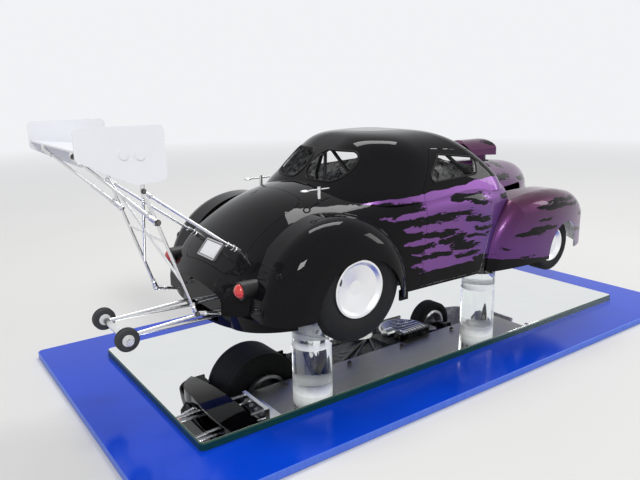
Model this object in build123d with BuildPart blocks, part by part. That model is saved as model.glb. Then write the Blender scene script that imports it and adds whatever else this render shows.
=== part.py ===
# Scale model of a 1940s coupe drag car on a mirror display base.
#
# Millimetres. +X is the car's front, +Y its left, +Z up. The origin lies on the underside
# of the base plate, under the car's centre plane and the middle of the mirror.
# The body panels are thin moulded shells, the chassis is a flat aluminium pan, and the
# wing, its struts and the wheelie bar are bright tube and sheet.

import os
from math import cos, radians, sin

from build123d import *

os.makedirs("parts", exist_ok=True)

# Display base
plate_length = 610.0
plate_width = 305.0
plate_thickness = 6.0
plate_corner = 5.0
mirror_length = 508.0
mirror_width = 204.0
mirror_thickness = 6.0
mirror_corner = 4.0
base_offset_y = -10.0
mirror_top = plate_thickness + mirror_thickness

# Clear pillars: a lower rod with a spacer rod standing on it
pillar_radius = 15.9
pillar_groove = 0.6
pillar_rear_height = 39.5
pillar_front_height = 46.0
pillar_rear_at = (-147.0, -92.0)
pillar_front_at = (50.0, 90.0)
pillar_mid_at = (-16.0, 90.0)
tyre_relief = 3.0
tab_setback = 11.0

# Rear axle and wheels
rear_axle_x = -107.5
rear_axle_z = 90.3
rear_tyre_radius = 44.3
rear_tyre_width = 52.0
rear_rim_radius = 23.8
rear_seat_radius = 22.0
rear_rim_width = 56.0
rear_wheel_outer = 104.0
axle_radius = 3.0
housing_radius = 6.0
housing_half_width = 44.0
gear_case_radius = 12.0
running_clearance = 0.05

# Front axle and wheels
front_axle_x = 162.0
front_axle_z = 82.0
front_tyre_radius = 28.0
front_tyre_width = 18.0
front_rim_radius = 17.8
front_seat_radius = 16.2
front_wheel_outer = 92.0
beam_radius = 3.0
kingpin_y = 64.0
kingpin_radius = 1.5
spindle_radius = 2.0
boss_height = 6.0
boss_radius = 4.0
ear_height = 3.0
steering_arm_length = 18.0
steering_arm_height = 3.0
tie_rod_radius = 1.4
tie_pin_radius = 1.0
gap = 0.3

# Body shell
wall = 2.0
seam = 0.4
sill_z = 74.5
door_half_width = 98.0
fender_half_width = 108.0
tail_x = -203.0
cowl_x = 88.0

# Chassis
pan_bottom = 74.0
pan_thickness = 3.0
pan_half_width = 41.0
pan_rear_x = -146.0
pan_front_x = 230.0
pan_top = pan_bottom + pan_thickness

# Rear fender: a short front arc and a long rear arc that meet at the crown
fender_crown_x = -112.0
fender_crown_z = 148.0
fender_front_radius = 66.0
fender_rear_radius = 76.0
fender_inner_y = 62.0
fender_round = 26.0
rear_arch_z = 72.0
rear_arch_radius = 43.5

# Front fender
front_crown_z = 143.0
front_valley_y = 84.0
front_valley_radius = 32.0
front_nose_x = 242.0
front_arch_x = 166.0
front_arch_z = 76.0
front_arch_radius = 32.0
front_fender_round = 16.0

# Wing, struts and wheelie bar
sheet = 1.2
tube_radius = 1.3
wing_half_width = 63.5
wheelie_x = -271.0
wheelie_z = 65.0
wheelie_half_track = 28.0
wheelie_tyre_radius = 9.2
wheelie_hub_radius = 4.6
wheelie_tyre_width = 6.0
wheelie_axle_radius = 1.2


def keep(part, label):
    """Name a finished piece and write it to its own file."""
    part.label = label
    export_step(part, "parts/" + label + ".step")


def rod(start, end, radius):
    """Add a round bar from start to end to the piece being built."""
    run = Vector(*end) - Vector(*start)
    with Locations(Plane(origin=start, z_dir=run).location):
        Cylinder(radius, run.length, align=(Align.CENTER, Align.CENTER, Align.MIN))


def ball(centre, radius):
    """Add a ball, as at the end of a bar, to the piece being built."""
    with Locations(centre):
        Sphere(radius)


def polygon(plane, points):
    """A closed outline of straight lines on the given plane."""
    with BuildSketch(plane) as sketch:
        with BuildLine():
            Polyline(*points, close=True)
        make_face()
    return sketch.sketch


def mirrored(part):
    """The same piece on the other side of the car."""
    with BuildPart() as other:
        add(part)
        mirror(about=Plane.XZ, mode=Mode.REPLACE)
    return other.part


# Display base: plate, mirror glass and pillars

with BuildPart() as base_plate:
    with BuildSketch(Plane.XY):
        with Locations((0, base_offset_y)):
            RectangleRounded(plate_length, plate_width, plate_corner)
    extrude(amount=plate_thickness)
    chamfer(base_plate.faces().sort_by(Axis.Z)[-1].edges(), 0.6)
keep(base_plate.part, "base_plate")

with BuildPart() as mirror_glass:
    with BuildSketch(Plane.XY.offset(plate_thickness)):
        with Locations((0, base_offset_y)):
            RectangleRounded(mirror_length, mirror_width, mirror_corner)
    extrude(amount=mirror_thickness)
    chamfer(mirror_glass.faces().sort_by(Axis.Z)[-1].edges(), 1.0)
keep(mirror_glass.part, "mirror_glass")

# Each pillar: x, y and height of the lower rod. The rear spacer is scooped to clear the tyre.
front_x, front_y = pillar_front_at
mid_x, mid_y = pillar_mid_at
rear_x, rear_y = pillar_rear_at
pillars = {
    "front_right": (front_x, -front_y, pillar_front_height),
    "front_left": (front_x, front_y, pillar_front_height),
    "rear_left": (mid_x, mid_y, pillar_front_height),
    "rear_right": (rear_x, rear_y, pillar_rear_height),
}
for corner, (x, y, height) in pillars.items():
    seat_z = mirror_top + height
    with BuildPart() as pillar:
        with BuildSketch(Plane.XY.offset(mirror_top)) as foot_disc:
            with Locations((x, y)):
                Circle(pillar_radius)
        extrude(foot_disc.sketch, amount=height)
        chamfer(pillar.faces().sort_by(Axis.Z)[-1].edges(), pillar_groove)
        with BuildSketch(Plane.XY.offset(seat_z)) as seat_disc:
            with Locations((x, y)):
                Circle(pillar_radius - pillar_groove)
        extrude(seat_disc.sketch, amount=pillar_groove)
        with BuildSketch(Plane.XY.offset(seat_z + pillar_groove)) as spacer_disc:
            with Locations((x, y)):
                Circle(pillar_radius - pillar_groove / 2)
        extrude(spacer_disc.sketch, amount=sill_z - seat_z - pillar_groove)
        with Locations(Plane(origin=(rear_axle_x, 0, rear_axle_z), z_dir=(0, 1, 0)).location):
            Cylinder(rear_tyre_radius + tyre_relief, 260, mode=Mode.SUBTRACT)
    keep(pillar.part, "pillar_" + corner)

# Body volumes. The skins below are cut from these solids.
# Each section: x, half width, underside z, side top z, crown z, shoulder radius
body_stations = (
    (tail_x, 50, sill_z, 88, 94, 6),
    (-190, 64, sill_z, 99, 108, 13),
    (-174, 74, sill_z, 114, 127, 20),
    (-150, 82, sill_z, 126, 147, 26),
    (-110, 91, sill_z, 137, 162, 30),
    (-60, 97, sill_z, 147, 169, 26),
    (0, door_half_width, sill_z, 152, 171, 20),
    (58, 97, sill_z, 152, 171, 20),
    (cowl_x, 90, sill_z, 149, 168, 20),
)
hood_stations = (
    (cowl_x + seam, 62, 78, 148, 167, 16),
    (125, 57, 78, 146.5, 166, 15),
    (160, 47, 78, 144.5, 164, 13),
    (188, 34, 78, 141, 161, 11),
    (206, 22, 78, 136, 155, 8),
    (217, 12, 78, 128, 144, 5),
)
# Cabin sections in plan: z, rear x, front x, half width, rear and front corner radius
cabin_stations = (
    (150, -107, 87.5, 93, 68, 22),
    (166, -94, 80, 87, 66, 20),
    (188, -73, 56, 74, 60, 18),
    (199, -58, 41, 60, 42, 17),
    (204, -49, 29, 46, 34, 15),
    (206.5, -34, 12, 26, 22, 12),
)


def hull_loft(stations, inset, drop):
    """Loft a body along x, its skin moved in by inset and its underside down by drop."""
    first, last = stations[0][0], stations[-1][0]
    sections = []
    for x, half, low, side, crown, shoulder in stations:
        shift = inset if x == first else -inset if x == last else 0
        half = half - inset
        with BuildSketch(Plane.YZ.offset(x + shift)) as section:
            with BuildLine():
                Line((-half, low - drop), (half, low - drop))
                Line((half, low - drop), (half, side - inset))
                ThreePointArc((half, side - inset), (0, crown - inset), (-half, side - inset))
                Line((-half, side - inset), (-half, low - drop))
            make_face()
            fillet(section.vertices().group_by(Axis.Y)[-1], max(shoulder - inset, 1))
        sections.append(section.sketch)
    with BuildPart() as body:
        loft(sections)
    return body.part


def cabin_loft(inset, drop):
    """Loft the cabin, its skin moved in by inset and its foot down by drop."""
    with BuildPart() as body:
        for z, rear, front, half, rear_corner, front_corner in cabin_stations:
            height = z - drop if z == cabin_stations[0][0] else z
            top = inset if z == cabin_stations[-1][0] else 0
            with BuildSketch(Plane.XY.offset(height - top)) as section:
                with Locations(((rear + front) / 2, 0)):
                    Rectangle(front - rear - 2 * inset, 2 * (half - inset))
                fillet(section.vertices().group_by(Axis.X)[0], rear_corner - inset)
                fillet(section.vertices().group_by(Axis.X)[-1], front_corner - inset)
        loft()
    return body.part


def rear_fender_solid(inset, inner_y, drop):
    """The left rear fender's bulge as a solid, its skin moved in by inset."""
    low = sill_z - drop
    crown = (fender_crown_x, fender_crown_z - inset)
    front_r = fender_front_radius - inset
    rear_r = fender_rear_radius - inset
    front_z = fender_crown_z - fender_front_radius
    rear_z = fender_crown_z - fender_rear_radius
    slant = sin(radians(45))
    front_mid = (fender_crown_x + front_r * slant, front_z + front_r * slant)
    rear_mid = (fender_crown_x - rear_r * slant, rear_z + rear_r * slant)
    rear_low = (fender_crown_x - (rear_r**2 - (low - rear_z) ** 2) ** 0.5, low)
    front_low = (fender_crown_x + front_r, low)
    with BuildPart() as body:
        with BuildSketch(Plane.XZ.offset(-inner_y)):
            with BuildLine():
                Line(front_low, (front_low[0], front_z))
                ThreePointArc((front_low[0], front_z), front_mid, crown)
                ThreePointArc(crown, rear_mid, rear_low)
                Line(rear_low, front_low)
            make_face()
        extrude(amount=-(fender_half_width - inset - inner_y))
        outer = body.faces().sort_by(Axis.Y)[-1].edges().filter_by(lambda e: e.center().Z > low + 1)
        fillet(outer, fender_round - inset)
    return body.part


def front_fender_solid(inset, inner_y, drop):
    """The left front fender as a solid, its skin moved in by inset."""
    rear, front = 48 + inset, front_nose_x - inset
    heel = (rear, 77)
    rear_bow = (59 + 0.9 * inset, 109 - 0.4 * inset)
    shoulder = (86 + 0.5 * inset, 138 - 0.9 * inset)
    crown = (130, front_crown_z - inset)
    brow = (178 - 0.2 * inset, 138 - inset)
    cheek = (213 - 0.6 * inset, 125 - 0.8 * inset)
    chin = (front_nose_x - 4 - inset, 100)
    low = sill_z - drop
    with BuildSketch(Plane.XZ.offset(-inner_y)) as side:
        with BuildLine():
            Line((rear, low), heel)
            ThreePointArc(heel, rear_bow, shoulder)
            ThreePointArc(shoulder, crown, brow)
            ThreePointArc(brow, cheek, chin)
            Line(chin, (front, low))
            Line((front, low), (rear, low))
        make_face()
    corner = (front_nose_x - 23 - 0.4 * inset, 88 - 0.9 * inset)
    nose = (front_nose_x + 2, 52 - 2 * inset)
    with BuildSketch(Plane.XY.offset(60)) as plan:
        with BuildLine():
            Line((44, 0), (44, 101 - inset))
            ThreePointArc((44, 101 - inset), (145, fender_half_width - inset), corner)
            Line(corner, nose)
            Line(nose, (nose[0], 0))
            Line((nose[0], 0), (44, 0))
        make_face()
    valley = [
        (front_valley_y + (front_valley_radius - inset) * cos(radians(turn)),
         front_crown_z + 1.5 - front_valley_radius + (front_valley_radius - inset) * sin(radians(turn)))
        for turn in (90, 125, 160)
    ]
    with BuildSketch(Plane.YZ.offset(40)) as hollow:
        with BuildLine():
            ThreePointArc(*valley)
            Line(valley[2], (0, 116 - inset))
            Polyline((0, 116 - inset), (0, 170), (front_valley_y, 170), valley[0])
        make_face()
    with BuildPart() as body:
        extrude(side.sketch, amount=-(fender_half_width + 4 - inner_y))
        extrude(plan.sketch, amount=100, mode=Mode.INTERSECT)
        skin = body.faces().filter_by(Axis.Z, reverse=True).sort_by(Axis.Y)[-1]
        rim = skin.edges().filter_by(lambda e: e.center().Z > sill_z + 6)
        fillet(rim, front_fender_round - inset)
        extrude(hollow.sketch, amount=220, mode=Mode.SUBTRACT)
    return body.part


body_outer = hull_loft(body_stations, 0, 0)
body_grown = hull_loft(body_stations, -seam, 2)
body_inner = hull_loft(body_stations, wall, 3)
hood_outer = hull_loft(hood_stations, 0, 0)
hood_gap_stations = tuple((x, half, low, side + 20, crown + 20, 3)
                          for x, half, low, side, crown, shoulder in hood_stations)
hood_grown = hull_loft(hood_gap_stations, -seam, 5)
hood_inner = hull_loft(hood_stations, wall, 3)
cabin_outer = cabin_loft(0, 0)
cabin_inner = cabin_loft(wall, 8)
rear_bulge = rear_fender_solid(0, fender_inner_y, 0)
rear_hollow = rear_fender_solid(wall, fender_inner_y + 4, 3)
front_bulge = front_fender_solid(0, 10, 0)
front_hollow = front_fender_solid(wall, 4, 3)


# Openings and seams in the body
window_outline = ((-20, 164), (44, 167), (48, 181), (6, 186))
door_outline = ((-34, 76.5), (42, 76.5), (52, 106), (57, 118), (57, 158), (50, 188), (-2, 192), (-26, 160))
lid_half_width = 46.0
lid_front_x = -118.0
lid_rear_x = -192.0
rear_light_half = 50.0
rear_light_z = 179.5
rear_light_height = 23.0
bar_half_width = 3.0
screen_half = 60.0
screen_z = 179.0
screen_height = 21.0
neck_x = 148.0
neck_radius = 8.5


def door_prism(shrink):
    """The left door's outline pushed through the body side, smaller all round by shrink."""
    with BuildSketch(Plane.XZ.offset(-40)) as outline:
        with BuildLine():
            Polyline(*door_outline, close=True)
        make_face()
        fillet(outline.vertices().group_by(Axis.Y)[-1], 8)
        if shrink:
            offset(amount=-shrink)
    with BuildPart() as prism:
        extrude(outline.sketch, amount=-70)
    return prism.part


def lid_prism(shrink):
    """The deck lid's outline pushed down through the rear deck."""
    with BuildSketch(Plane.XY.offset(96)) as outline:
        with Locations(((lid_front_x + lid_rear_x) / 2, 0)):
            RectangleRounded(lid_front_x - lid_rear_x - 2 * shrink, 2 * (lid_half_width - shrink), 14)
    with BuildPart() as prism:
        extrude(outline.sketch, amount=90)
    return prism.part


with BuildSketch(Plane.XZ.offset(-40)) as side_window:
    with BuildLine():
        Polyline(*window_outline, close=True)
    make_face()
    fillet(side_window.vertices(), 4)
light_width = rear_light_half - bar_half_width
with BuildSketch(Plane.YZ.offset(-112)) as rear_light:
    with Locations((bar_half_width + light_width / 2, rear_light_z)):
        RectangleRounded(light_width, rear_light_height, rear_light_height / 2 - 0.2)
screen_width = screen_half - bar_half_width / 2
with BuildSketch(Plane.YZ.offset(12)) as screen:
    with Locations((bar_half_width / 2 + screen_width / 2, screen_z)):
        RectangleRounded(screen_width, screen_height, 7)
with BuildPart() as windows:
    extrude(side_window.sketch, amount=-70)
    extrude(rear_light.sketch, amount=70)
    extrude(screen.sketch, amount=90)
    mirror(about=Plane.XZ)

# Body shell: the one moulded skin from the tail to the cowl
with BuildPart() as shell:
    add(body_outer)
    add(cabin_outer)
    add(body_inner, mode=Mode.SUBTRACT)
    add(cabin_inner, mode=Mode.SUBTRACT)
    add(windows.part, mode=Mode.SUBTRACT)
door_cut = door_prism(0)
with BuildPart() as body_shell:
    add(shell.part)
    add(rear_hollow, mode=Mode.SUBTRACT)
    add(mirrored(rear_hollow), mode=Mode.SUBTRACT)
    add(door_cut, mode=Mode.SUBTRACT)
    add(mirrored(door_cut), mode=Mode.SUBTRACT)
    add(lid_prism(0), mode=Mode.SUBTRACT)
    with Locations((cowl_x, 0, sill_z)):
        Box(10, 2 * (pan_half_width + 5), 2 * (pan_top + seam - sill_z), mode=Mode.SUBTRACT)
keep(body_shell.part, "body_shell")

with BuildPart() as door_left:
    add(shell.part)
    add(door_prism(seam), mode=Mode.INTERSECT)
keep(door_left.part, "door_left")
keep(mirrored(door_left.part), "door_right")

with BuildPart() as deck_lid:
    add(shell.part)
    add(lid_prism(seam), mode=Mode.INTERSECT)
keep(deck_lid.part, "deck_lid")

# Rear fenders: the part of the bulge that stands outside the body, opened for the wheel
with BuildSketch(Plane.XZ.offset(-fender_inner_y)) as rear_arch:
    with Locations((rear_axle_x, rear_arch_z)):
        Circle(rear_arch_radius)
    with Locations((rear_axle_x, rear_arch_z - 20)):
        Rectangle(2 * rear_arch_radius, 40)
tab_x = pillar_rear_at[0] - tab_setback
with BuildPart() as fender_skin:
    add(rear_bulge)
    add(rear_hollow, mode=Mode.SUBTRACT)
    add(body_grown, mode=Mode.SUBTRACT)
    extrude(rear_arch.sketch, amount=-60, mode=Mode.SUBTRACT)
fender_pieces = fender_skin.part.solids().sort_by(SortBy.VOLUME)
with BuildPart() as rear_fender_left:
    add(fender_pieces[-1])
    with Locations((tab_x, fender_half_width - 11.5, sill_z + wall / 2)):
        Box(9, 21, wall)
    with Locations((-59, fender_half_width - 6, sill_z + 1)):
        Box(9, wall, 9)
keep(rear_fender_left.part, "rear_fender_left")
keep(mirrored(rear_fender_left.part), "rear_fender_right")

# Rolled pan under the tail, with holes for the wheelie bar tubes
rolled_top = sill_z
rolled_plan = (((-167, 104), (-186, 80), (-193, 46)), ((-193, 46), (-197, 0), (-193, -46)))
tube_y = wheelie_half_track - 6.5
upper_tube = ((wheelie_x, tube_y, wheelie_z), (-148, 18, 71))
lower_tube = ((wheelie_x, tube_y, wheelie_z), (-148, 18, 62))


def rolled_solid(inset):
    """The rolled pan as a solid: a bowed plan, deep in the middle and shallow at the ends."""
    with BuildSketch(Plane.XY.offset(40)) as plan:
        with BuildLine():
            ThreePointArc((-167, 104 - inset), (-186 + inset, 80 - inset), (-193 + inset, 46))
            ThreePointArc((-193 + inset, 46), (-197 + inset, 0), (-193 + inset, -46))
            ThreePointArc((-193 + inset, -46), (-186 + inset, -80 + inset), (-167, -104 + inset))
            Line((-167, -104 + inset), (-167 + inset, 0))
            Line((-167 + inset, 0), (-167, 104 - inset))
        make_face()
    with BuildSketch(Plane.YZ.offset(-210)) as depth:
        with BuildLine():
            Line((-106, rolled_top + inset), (106, rolled_top + inset))
            Line((106, rolled_top + inset), (106, 71 + inset))
            ThreePointArc((106, 71 + inset), (0, 58 + inset), (-106, 71 + inset))
            Line((-106, 71 + inset), (-106, rolled_top + inset))
        make_face()
    with BuildPart() as body:
        extrude(plan.sketch, amount=60)
        extrude(depth.sketch, amount=60, mode=Mode.INTERSECT)
    return body.part


with BuildPart() as rear_pan:
    add(rolled_solid(0))
    add(rolled_solid(wall), mode=Mode.SUBTRACT)
    with Locations((-195, 0, 66.5)):
        Box(16, 2 * wheelie_half_track, 12, mode=Mode.SUBTRACT)
keep(rear_pan.part, "rear_pan")

# Hood with its scoop opening, side openings and axle notch
with BuildPart() as hood:
    add(hood_outer)
    add(hood_inner, mode=Mode.SUBTRACT)
    extrude(hood_inner.faces().sort_by(Axis.X)[0], amount=2 * wall, mode=Mode.SUBTRACT)
    with BuildSketch(Plane.XY.offset(100)) as neck_hole:
        with Locations((neck_x, 0)):
            RectangleRounded(2 * neck_radius + 4, 2 * neck_radius + 6, neck_radius)
    extrude(neck_hole.sketch, amount=80, mode=Mode.SUBTRACT)
    with BuildSketch(Plane.XZ.offset(-70)) as side_opening:
        with Locations((133, 134)):
            RectangleRounded(66, 18, 6)
        with Locations((170, 84)):
            RectangleRounded(44, 28, 6)
    extrude(side_opening.sketch, amount=140, mode=Mode.SUBTRACT)
keep(hood.part, "hood")

# Front fenders
with BuildSketch(Plane.XZ.offset(-70)) as front_arch:
    with Locations((front_arch_x, front_arch_z)):
        Circle(front_arch_radius)
    with Locations((front_arch_x, front_arch_z - 20)):
        Rectangle(2 * front_arch_radius, 40)
with BuildPart() as front_skin:
    add(front_bulge)
    add(front_hollow, mode=Mode.SUBTRACT)
    add(body_grown, mode=Mode.SUBTRACT)
    add(hood_grown, mode=Mode.SUBTRACT)
    extrude(front_arch.sketch, amount=-60, mode=Mode.SUBTRACT)
front_pieces = front_skin.part.solids().sort_by(SortBy.VOLUME)
with BuildPart() as front_fender_left:
    add(front_pieces[-1])
keep(front_fender_left.part, "front_fender_left")
keep(mirrored(front_fender_left.part), "front_fender_right")

# Chassis pan: a flat sheet with countersunk-looking screw heads under it
with BuildPart() as chassis_pan:
    with BuildSketch(Plane.XY.offset(pan_bottom)):
        with Locations(((pan_rear_x + pan_front_x) / 2, 0)):
            Rectangle(pan_front_x - pan_rear_x, 2 * pan_half_width)
    extrude(amount=pan_thickness)
    chamfer(chassis_pan.edges().filter_by(Axis.Z), 4)
    with Locations([(x, y, pan_bottom - 0.7) for x in (-96, -12, 66, 150, 214) for y in (-32, 32)]):
        Cylinder(2.2, 1.4)
keep(chassis_pan.part, "chassis_pan")

# Outriggers: four thin bars a side that meet over the front pillars
outrigger_z = pan_bottom + 1.7
with BuildPart() as outrigger_left:
    for x in (-18, 1, 33, 59):
        rod((x, pan_half_width, outrigger_z), (57, 82, outrigger_z), 1.1)
    with Locations((57, 82, outrigger_z)):
        Cylinder(3.2, 2.2)
    add(chassis_pan.part, mode=Mode.SUBTRACT)
keep(outrigger_left.part, "outrigger_left")
keep(mirrored(outrigger_left.part), "outrigger_right")

# Interior tin: a tray with upright sides and a firewall
tin_wall = 1.2
with BuildPart() as interior_tin:
    with Locations((13, 0, pan_top + 27.5)):
        Box(138, 170, 55)
    fillet(interior_tin.edges().filter_by(Axis.Z), 6)
    with Locations((13, 0, pan_top + tin_wall + 30)):
        Box(138 - 2 * tin_wall, 170 - 2 * tin_wall, 60, mode=Mode.SUBTRACT)
keep(interior_tin.part, "interior_tin")

# Roll cage standing on the tray
cage_foot = pan_top + tin_wall
cage_radius = 1.8
hoop_x = -30.0
with BuildPart() as roll_cage:
    for side in (-1, 1):
        rod((hoop_x, 62 * side, cage_foot), (hoop_x, 62 * side, 160), cage_radius)
        rod((hoop_x, 62 * side, 160), (hoop_x, 46 * side, 194), cage_radius)
        rod((hoop_x, 46 * side, 194), (28, 44 * side, 196), cage_radius)
        rod((28, 44 * side, 196), (70, 72 * side, 150), cage_radius)
        rod((70, 72 * side, 150), (74, 74 * side, cage_foot), cage_radius)
        rod((hoop_x, 46 * side, 194), (-50, 24 * side, cage_foot), cage_radius)
        rod((hoop_x, 62 * side, 112), (72, 73 * side, 100), cage_radius)
        for joint in ((hoop_x, 62, 160), (hoop_x, 46, 194), (28, 44, 196), (70, 72, 150)):
            ball((joint[0], joint[1] * side, joint[2]), cage_radius)
    rod((hoop_x, -46, 194), (hoop_x, 46, 194), cage_radius)
    rod((28, -44, 196), (28, 44, 196), cage_radius)
    rod((hoop_x, -62, 112), (hoop_x, 62, 112), cage_radius)
    rod((hoop_x, -62, 112), (hoop_x, 46, 194), cage_radius)
    add(interior_tin.part, mode=Mode.SUBTRACT)
keep(roll_cage.part, "roll_cage")

# Engine: one plain block with its blower, chrome covers and scoop
engine_front, engine_rear = 148.0, 96.0
engine_length = engine_front - engine_rear
block_outline = (
    (-16, pan_top), (16, pan_top), (20, 95), (36, 113), (27, 123), (14, 120), (-14, 120),
    (-27, 123), (-36, 113), (-20, 95),
)
with BuildPart() as engine_block:
    extrude(polygon(Plane.YZ.offset(engine_rear), block_outline), amount=engine_length)
keep(engine_block.part, "engine_block")

cover_outline = ((36, 113), (27, 123), (33, 129), (37, 129), (42, 123), (42, 119))
with BuildPart() as valve_cover_left:
    extrude(polygon(Plane.YZ.offset(engine_rear + 2), cover_outline), amount=engine_length - 4)
keep(valve_cover_left.part, "valve_cover_left")
keep(mirrored(valve_cover_left.part), "valve_cover_right")

blower_top = 147.0
with BuildPart() as blower:
    with BuildSketch(Plane.XY.offset(120)):
        with Locations((engine_front - 20, 0)):
            Rectangle(44, 26)
    extrude(amount=6)
    with BuildSketch(Plane.XY.offset(126)) as drum:
        with Locations((engine_front - 12, 0)):
            RectangleRounded(56, 24, 4)
    extrude(drum.sketch, amount=blower_top - 126)
    fillet(blower.faces().sort_by(Axis.Z)[-1].edges(), 2)
keep(blower.part, "blower")

scoop_front, scoop_rear = 158.0, 112.0
scoop_low, scoop_side, scoop_high = 170.5, 178.5, 188.0
scoop_half = 17.0


def scoop_section(inset):
    """The hat's cross-section: flat below, short sides and a domed top."""
    half = scoop_half - inset
    with BuildSketch(Plane.YZ.offset(scoop_front)) as section:
        with BuildLine():
            Polyline((-half, scoop_side), (-half, scoop_low + inset), (half, scoop_low + inset))
            Line((half, scoop_low + inset), (half, scoop_side))
            ThreePointArc((half, scoop_side), (0, scoop_high - inset), (-half, scoop_side))
        make_face()
    return section.sketch


with BuildPart() as injector_scoop:
    extrude(scoop_section(0), amount=scoop_rear - scoop_front)
    with BuildSketch(Plane.XZ.offset(-scoop_half)) as hat_side:
        with BuildLine():
            Line((scoop_front, scoop_low), (134, scoop_low + 1.5))
            ThreePointArc((134, scoop_low + 1.5), (118, 176), (scoop_rear, 185))
            Line((scoop_rear, 185), (116, scoop_high))
            Line((116, scoop_high), (148, scoop_high))
            ThreePointArc((148, scoop_high), (154, 186), (scoop_front, 181.5))
            Line((scoop_front, 181.5), (scoop_front, scoop_low))
        make_face()
    extrude(hat_side.sketch, amount=2 * scoop_half, mode=Mode.INTERSECT)
    extrude(scoop_section(1.6), amount=-20, mode=Mode.SUBTRACT)
    with BuildSketch(Plane.XY.offset(blower_top)) as neck:
        with Locations((neck_x, 0)):
            Circle(neck_radius)
    extrude(neck.sketch, amount=scoop_low + 1 - blower_top)
keep(injector_scoop.part, "injector_scoop")

# Headers: eight thin pipes a side that bow outwards and gather under the tray
header_z = 68.0
header_pipe = 1.9
with BuildPart() as header_left:
    with Locations((98.5, pan_half_width + 2, pan_top - 5.5)):
        Box(44, 4, 11)
    for count in range(8):
        start = (80 + 5.2 * count, pan_half_width + 1, header_z)
        bow = (80 + 3.4 * count, 62 + 3.4 * count, header_z)
        end = (66, 57 + 0.9 * count, header_z)
        with BuildLine() as path:
            ThreePointArc(start, bow, end)
        with BuildSketch(Plane(origin=start, z_dir=path.line % 0)) as bore:
            Circle(header_pipe)
        sweep(bore.sketch, path=path.line)
    with Locations(Plane(origin=(70, 60, header_z), z_dir=(-1, 0, 0)).location):
        Cylinder(6, 12)
keep(header_left.part, "header_left")
keep(mirrored(header_left.part), "header_right")

# Rear axle: housing on two stands, with the turning shaft inside it
with BuildPart() as rear_axle_housing:
    with Locations(Plane(origin=(rear_axle_x, 0, rear_axle_z), z_dir=(0, 1, 0)).location):
        Cylinder(housing_radius, 2 * housing_half_width)
        Cylinder(gear_case_radius, 20)
    fillet(rear_axle_housing.edges().filter_by(GeomType.CIRCLE).group_by(SortBy.LENGTH)[-1], 4)
    for side in (-1, 1):
        with Locations((rear_axle_x, 32 * side, (pan_top + rear_axle_z) / 2)):
            Box(10, 6, rear_axle_z - pan_top)
    with Locations(Plane(origin=(rear_axle_x, 0, rear_axle_z), z_dir=(0, 1, 0)).location):
        Cylinder(axle_radius + running_clearance, 120, mode=Mode.SUBTRACT)
keep(rear_axle_housing.part, "rear_axle_housing")

shaft_end = rear_wheel_outer - 8.5
with BuildPart() as rear_axle_shaft:
    with Locations(Plane(origin=(rear_axle_x, 0, rear_axle_z), z_dir=(0, 1, 0)).location):
        Cylinder(axle_radius, 2 * shaft_end)
keep(rear_axle_shaft.part, "rear_axle_shaft")


def turned(x, z, points):
    """A wheel piece turned about its axle from a section of (y, radius) points."""
    hub_plane = Plane(origin=(x, 0, z), x_dir=(0, 1, 0), z_dir=(1, 0, 0))
    with BuildPart() as piece:
        revolve(polygon(hub_plane, points), axis=Axis((x, 0, z), (0, 1, 0)))
    return piece.part


def tyre(x, z, inner, outer, seat, radius, flange, bead):
    """A tyre turned about its axle: bowed side walls, flat tread and two fine tread lines."""
    middle = (inner + outer) / 2
    half = (outer - inner) / 2
    wall_r = seat + 0.42 * (radius - seat)
    edge_r = radius - 0.14 * (radius - seat)
    hub_plane = Plane(origin=(x, 0, z), x_dir=(0, 1, 0), z_dir=(1, 0, 0))
    with BuildSketch(hub_plane) as section:
        with BuildLine():
            Line((middle + half - bead, seat), (middle + half - bead, flange))
            ThreePointArc((middle + half - bead, flange), (outer, wall_r), (middle + 0.93 * half, edge_r))
            Line((middle + 0.93 * half, edge_r), (middle + 0.82 * half, radius))
            Line((middle + 0.82 * half, radius), (middle - 0.82 * half, radius))
            Line((middle - 0.82 * half, radius), (middle - 0.93 * half, edge_r))
            ThreePointArc((middle - 0.93 * half, edge_r), (inner, wall_r), (middle - half + bead, flange))
            Line((middle - half + bead, flange), (middle - half + bead, seat))
            Line((middle - half + bead, seat), (middle + half - bead, seat))
        make_face()
        with Locations((middle - 0.6 * half, radius), (middle + 0.6 * half, radius)):
            Rectangle(0.6, 0.8, mode=Mode.SUBTRACT)
    with BuildPart() as piece:
        revolve(section.sketch, axis=Axis((x, 0, z), (0, 1, 0)))
    return piece.part


def from_outer_face(outer, points):
    """Points of a rim section, given as depth in from the wheel's outer face and radius."""
    return [(outer - depth, radius) for depth, radius in points]


# Rear rim section: depth in from the outer face, radius
rear_rim_points = from_outer_face(rear_wheel_outer, (
    (0.5, rear_rim_radius), (2.5, rear_rim_radius), (2.5, rear_seat_radius),
    (54.5, rear_seat_radius), (54.5, rear_rim_radius), (56.5, rear_rim_radius),
    (56.5, 20.5), (7, 20.5), (11, 8), (20, 8), (20, axle_radius), (8.5, axle_radius), (8.5, 0),
    (6, 0), (6, 6), (3, 19.5), (0.5, rear_seat_radius),
))
rear_rim_left = turned(rear_axle_x, rear_axle_z, rear_rim_points)
keep(rear_rim_left, "rear_rim_left")
keep(mirrored(rear_rim_left), "rear_rim_right")
rear_tyre_left = tyre(
    rear_axle_x, rear_axle_z, rear_wheel_outer - rear_tyre_width, rear_wheel_outer,
    rear_seat_radius, rear_tyre_radius, rear_rim_radius, 2.5,
)
keep(rear_tyre_left, "rear_tyre_left")
keep(mirrored(rear_tyre_left), "rear_tyre_right")

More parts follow.
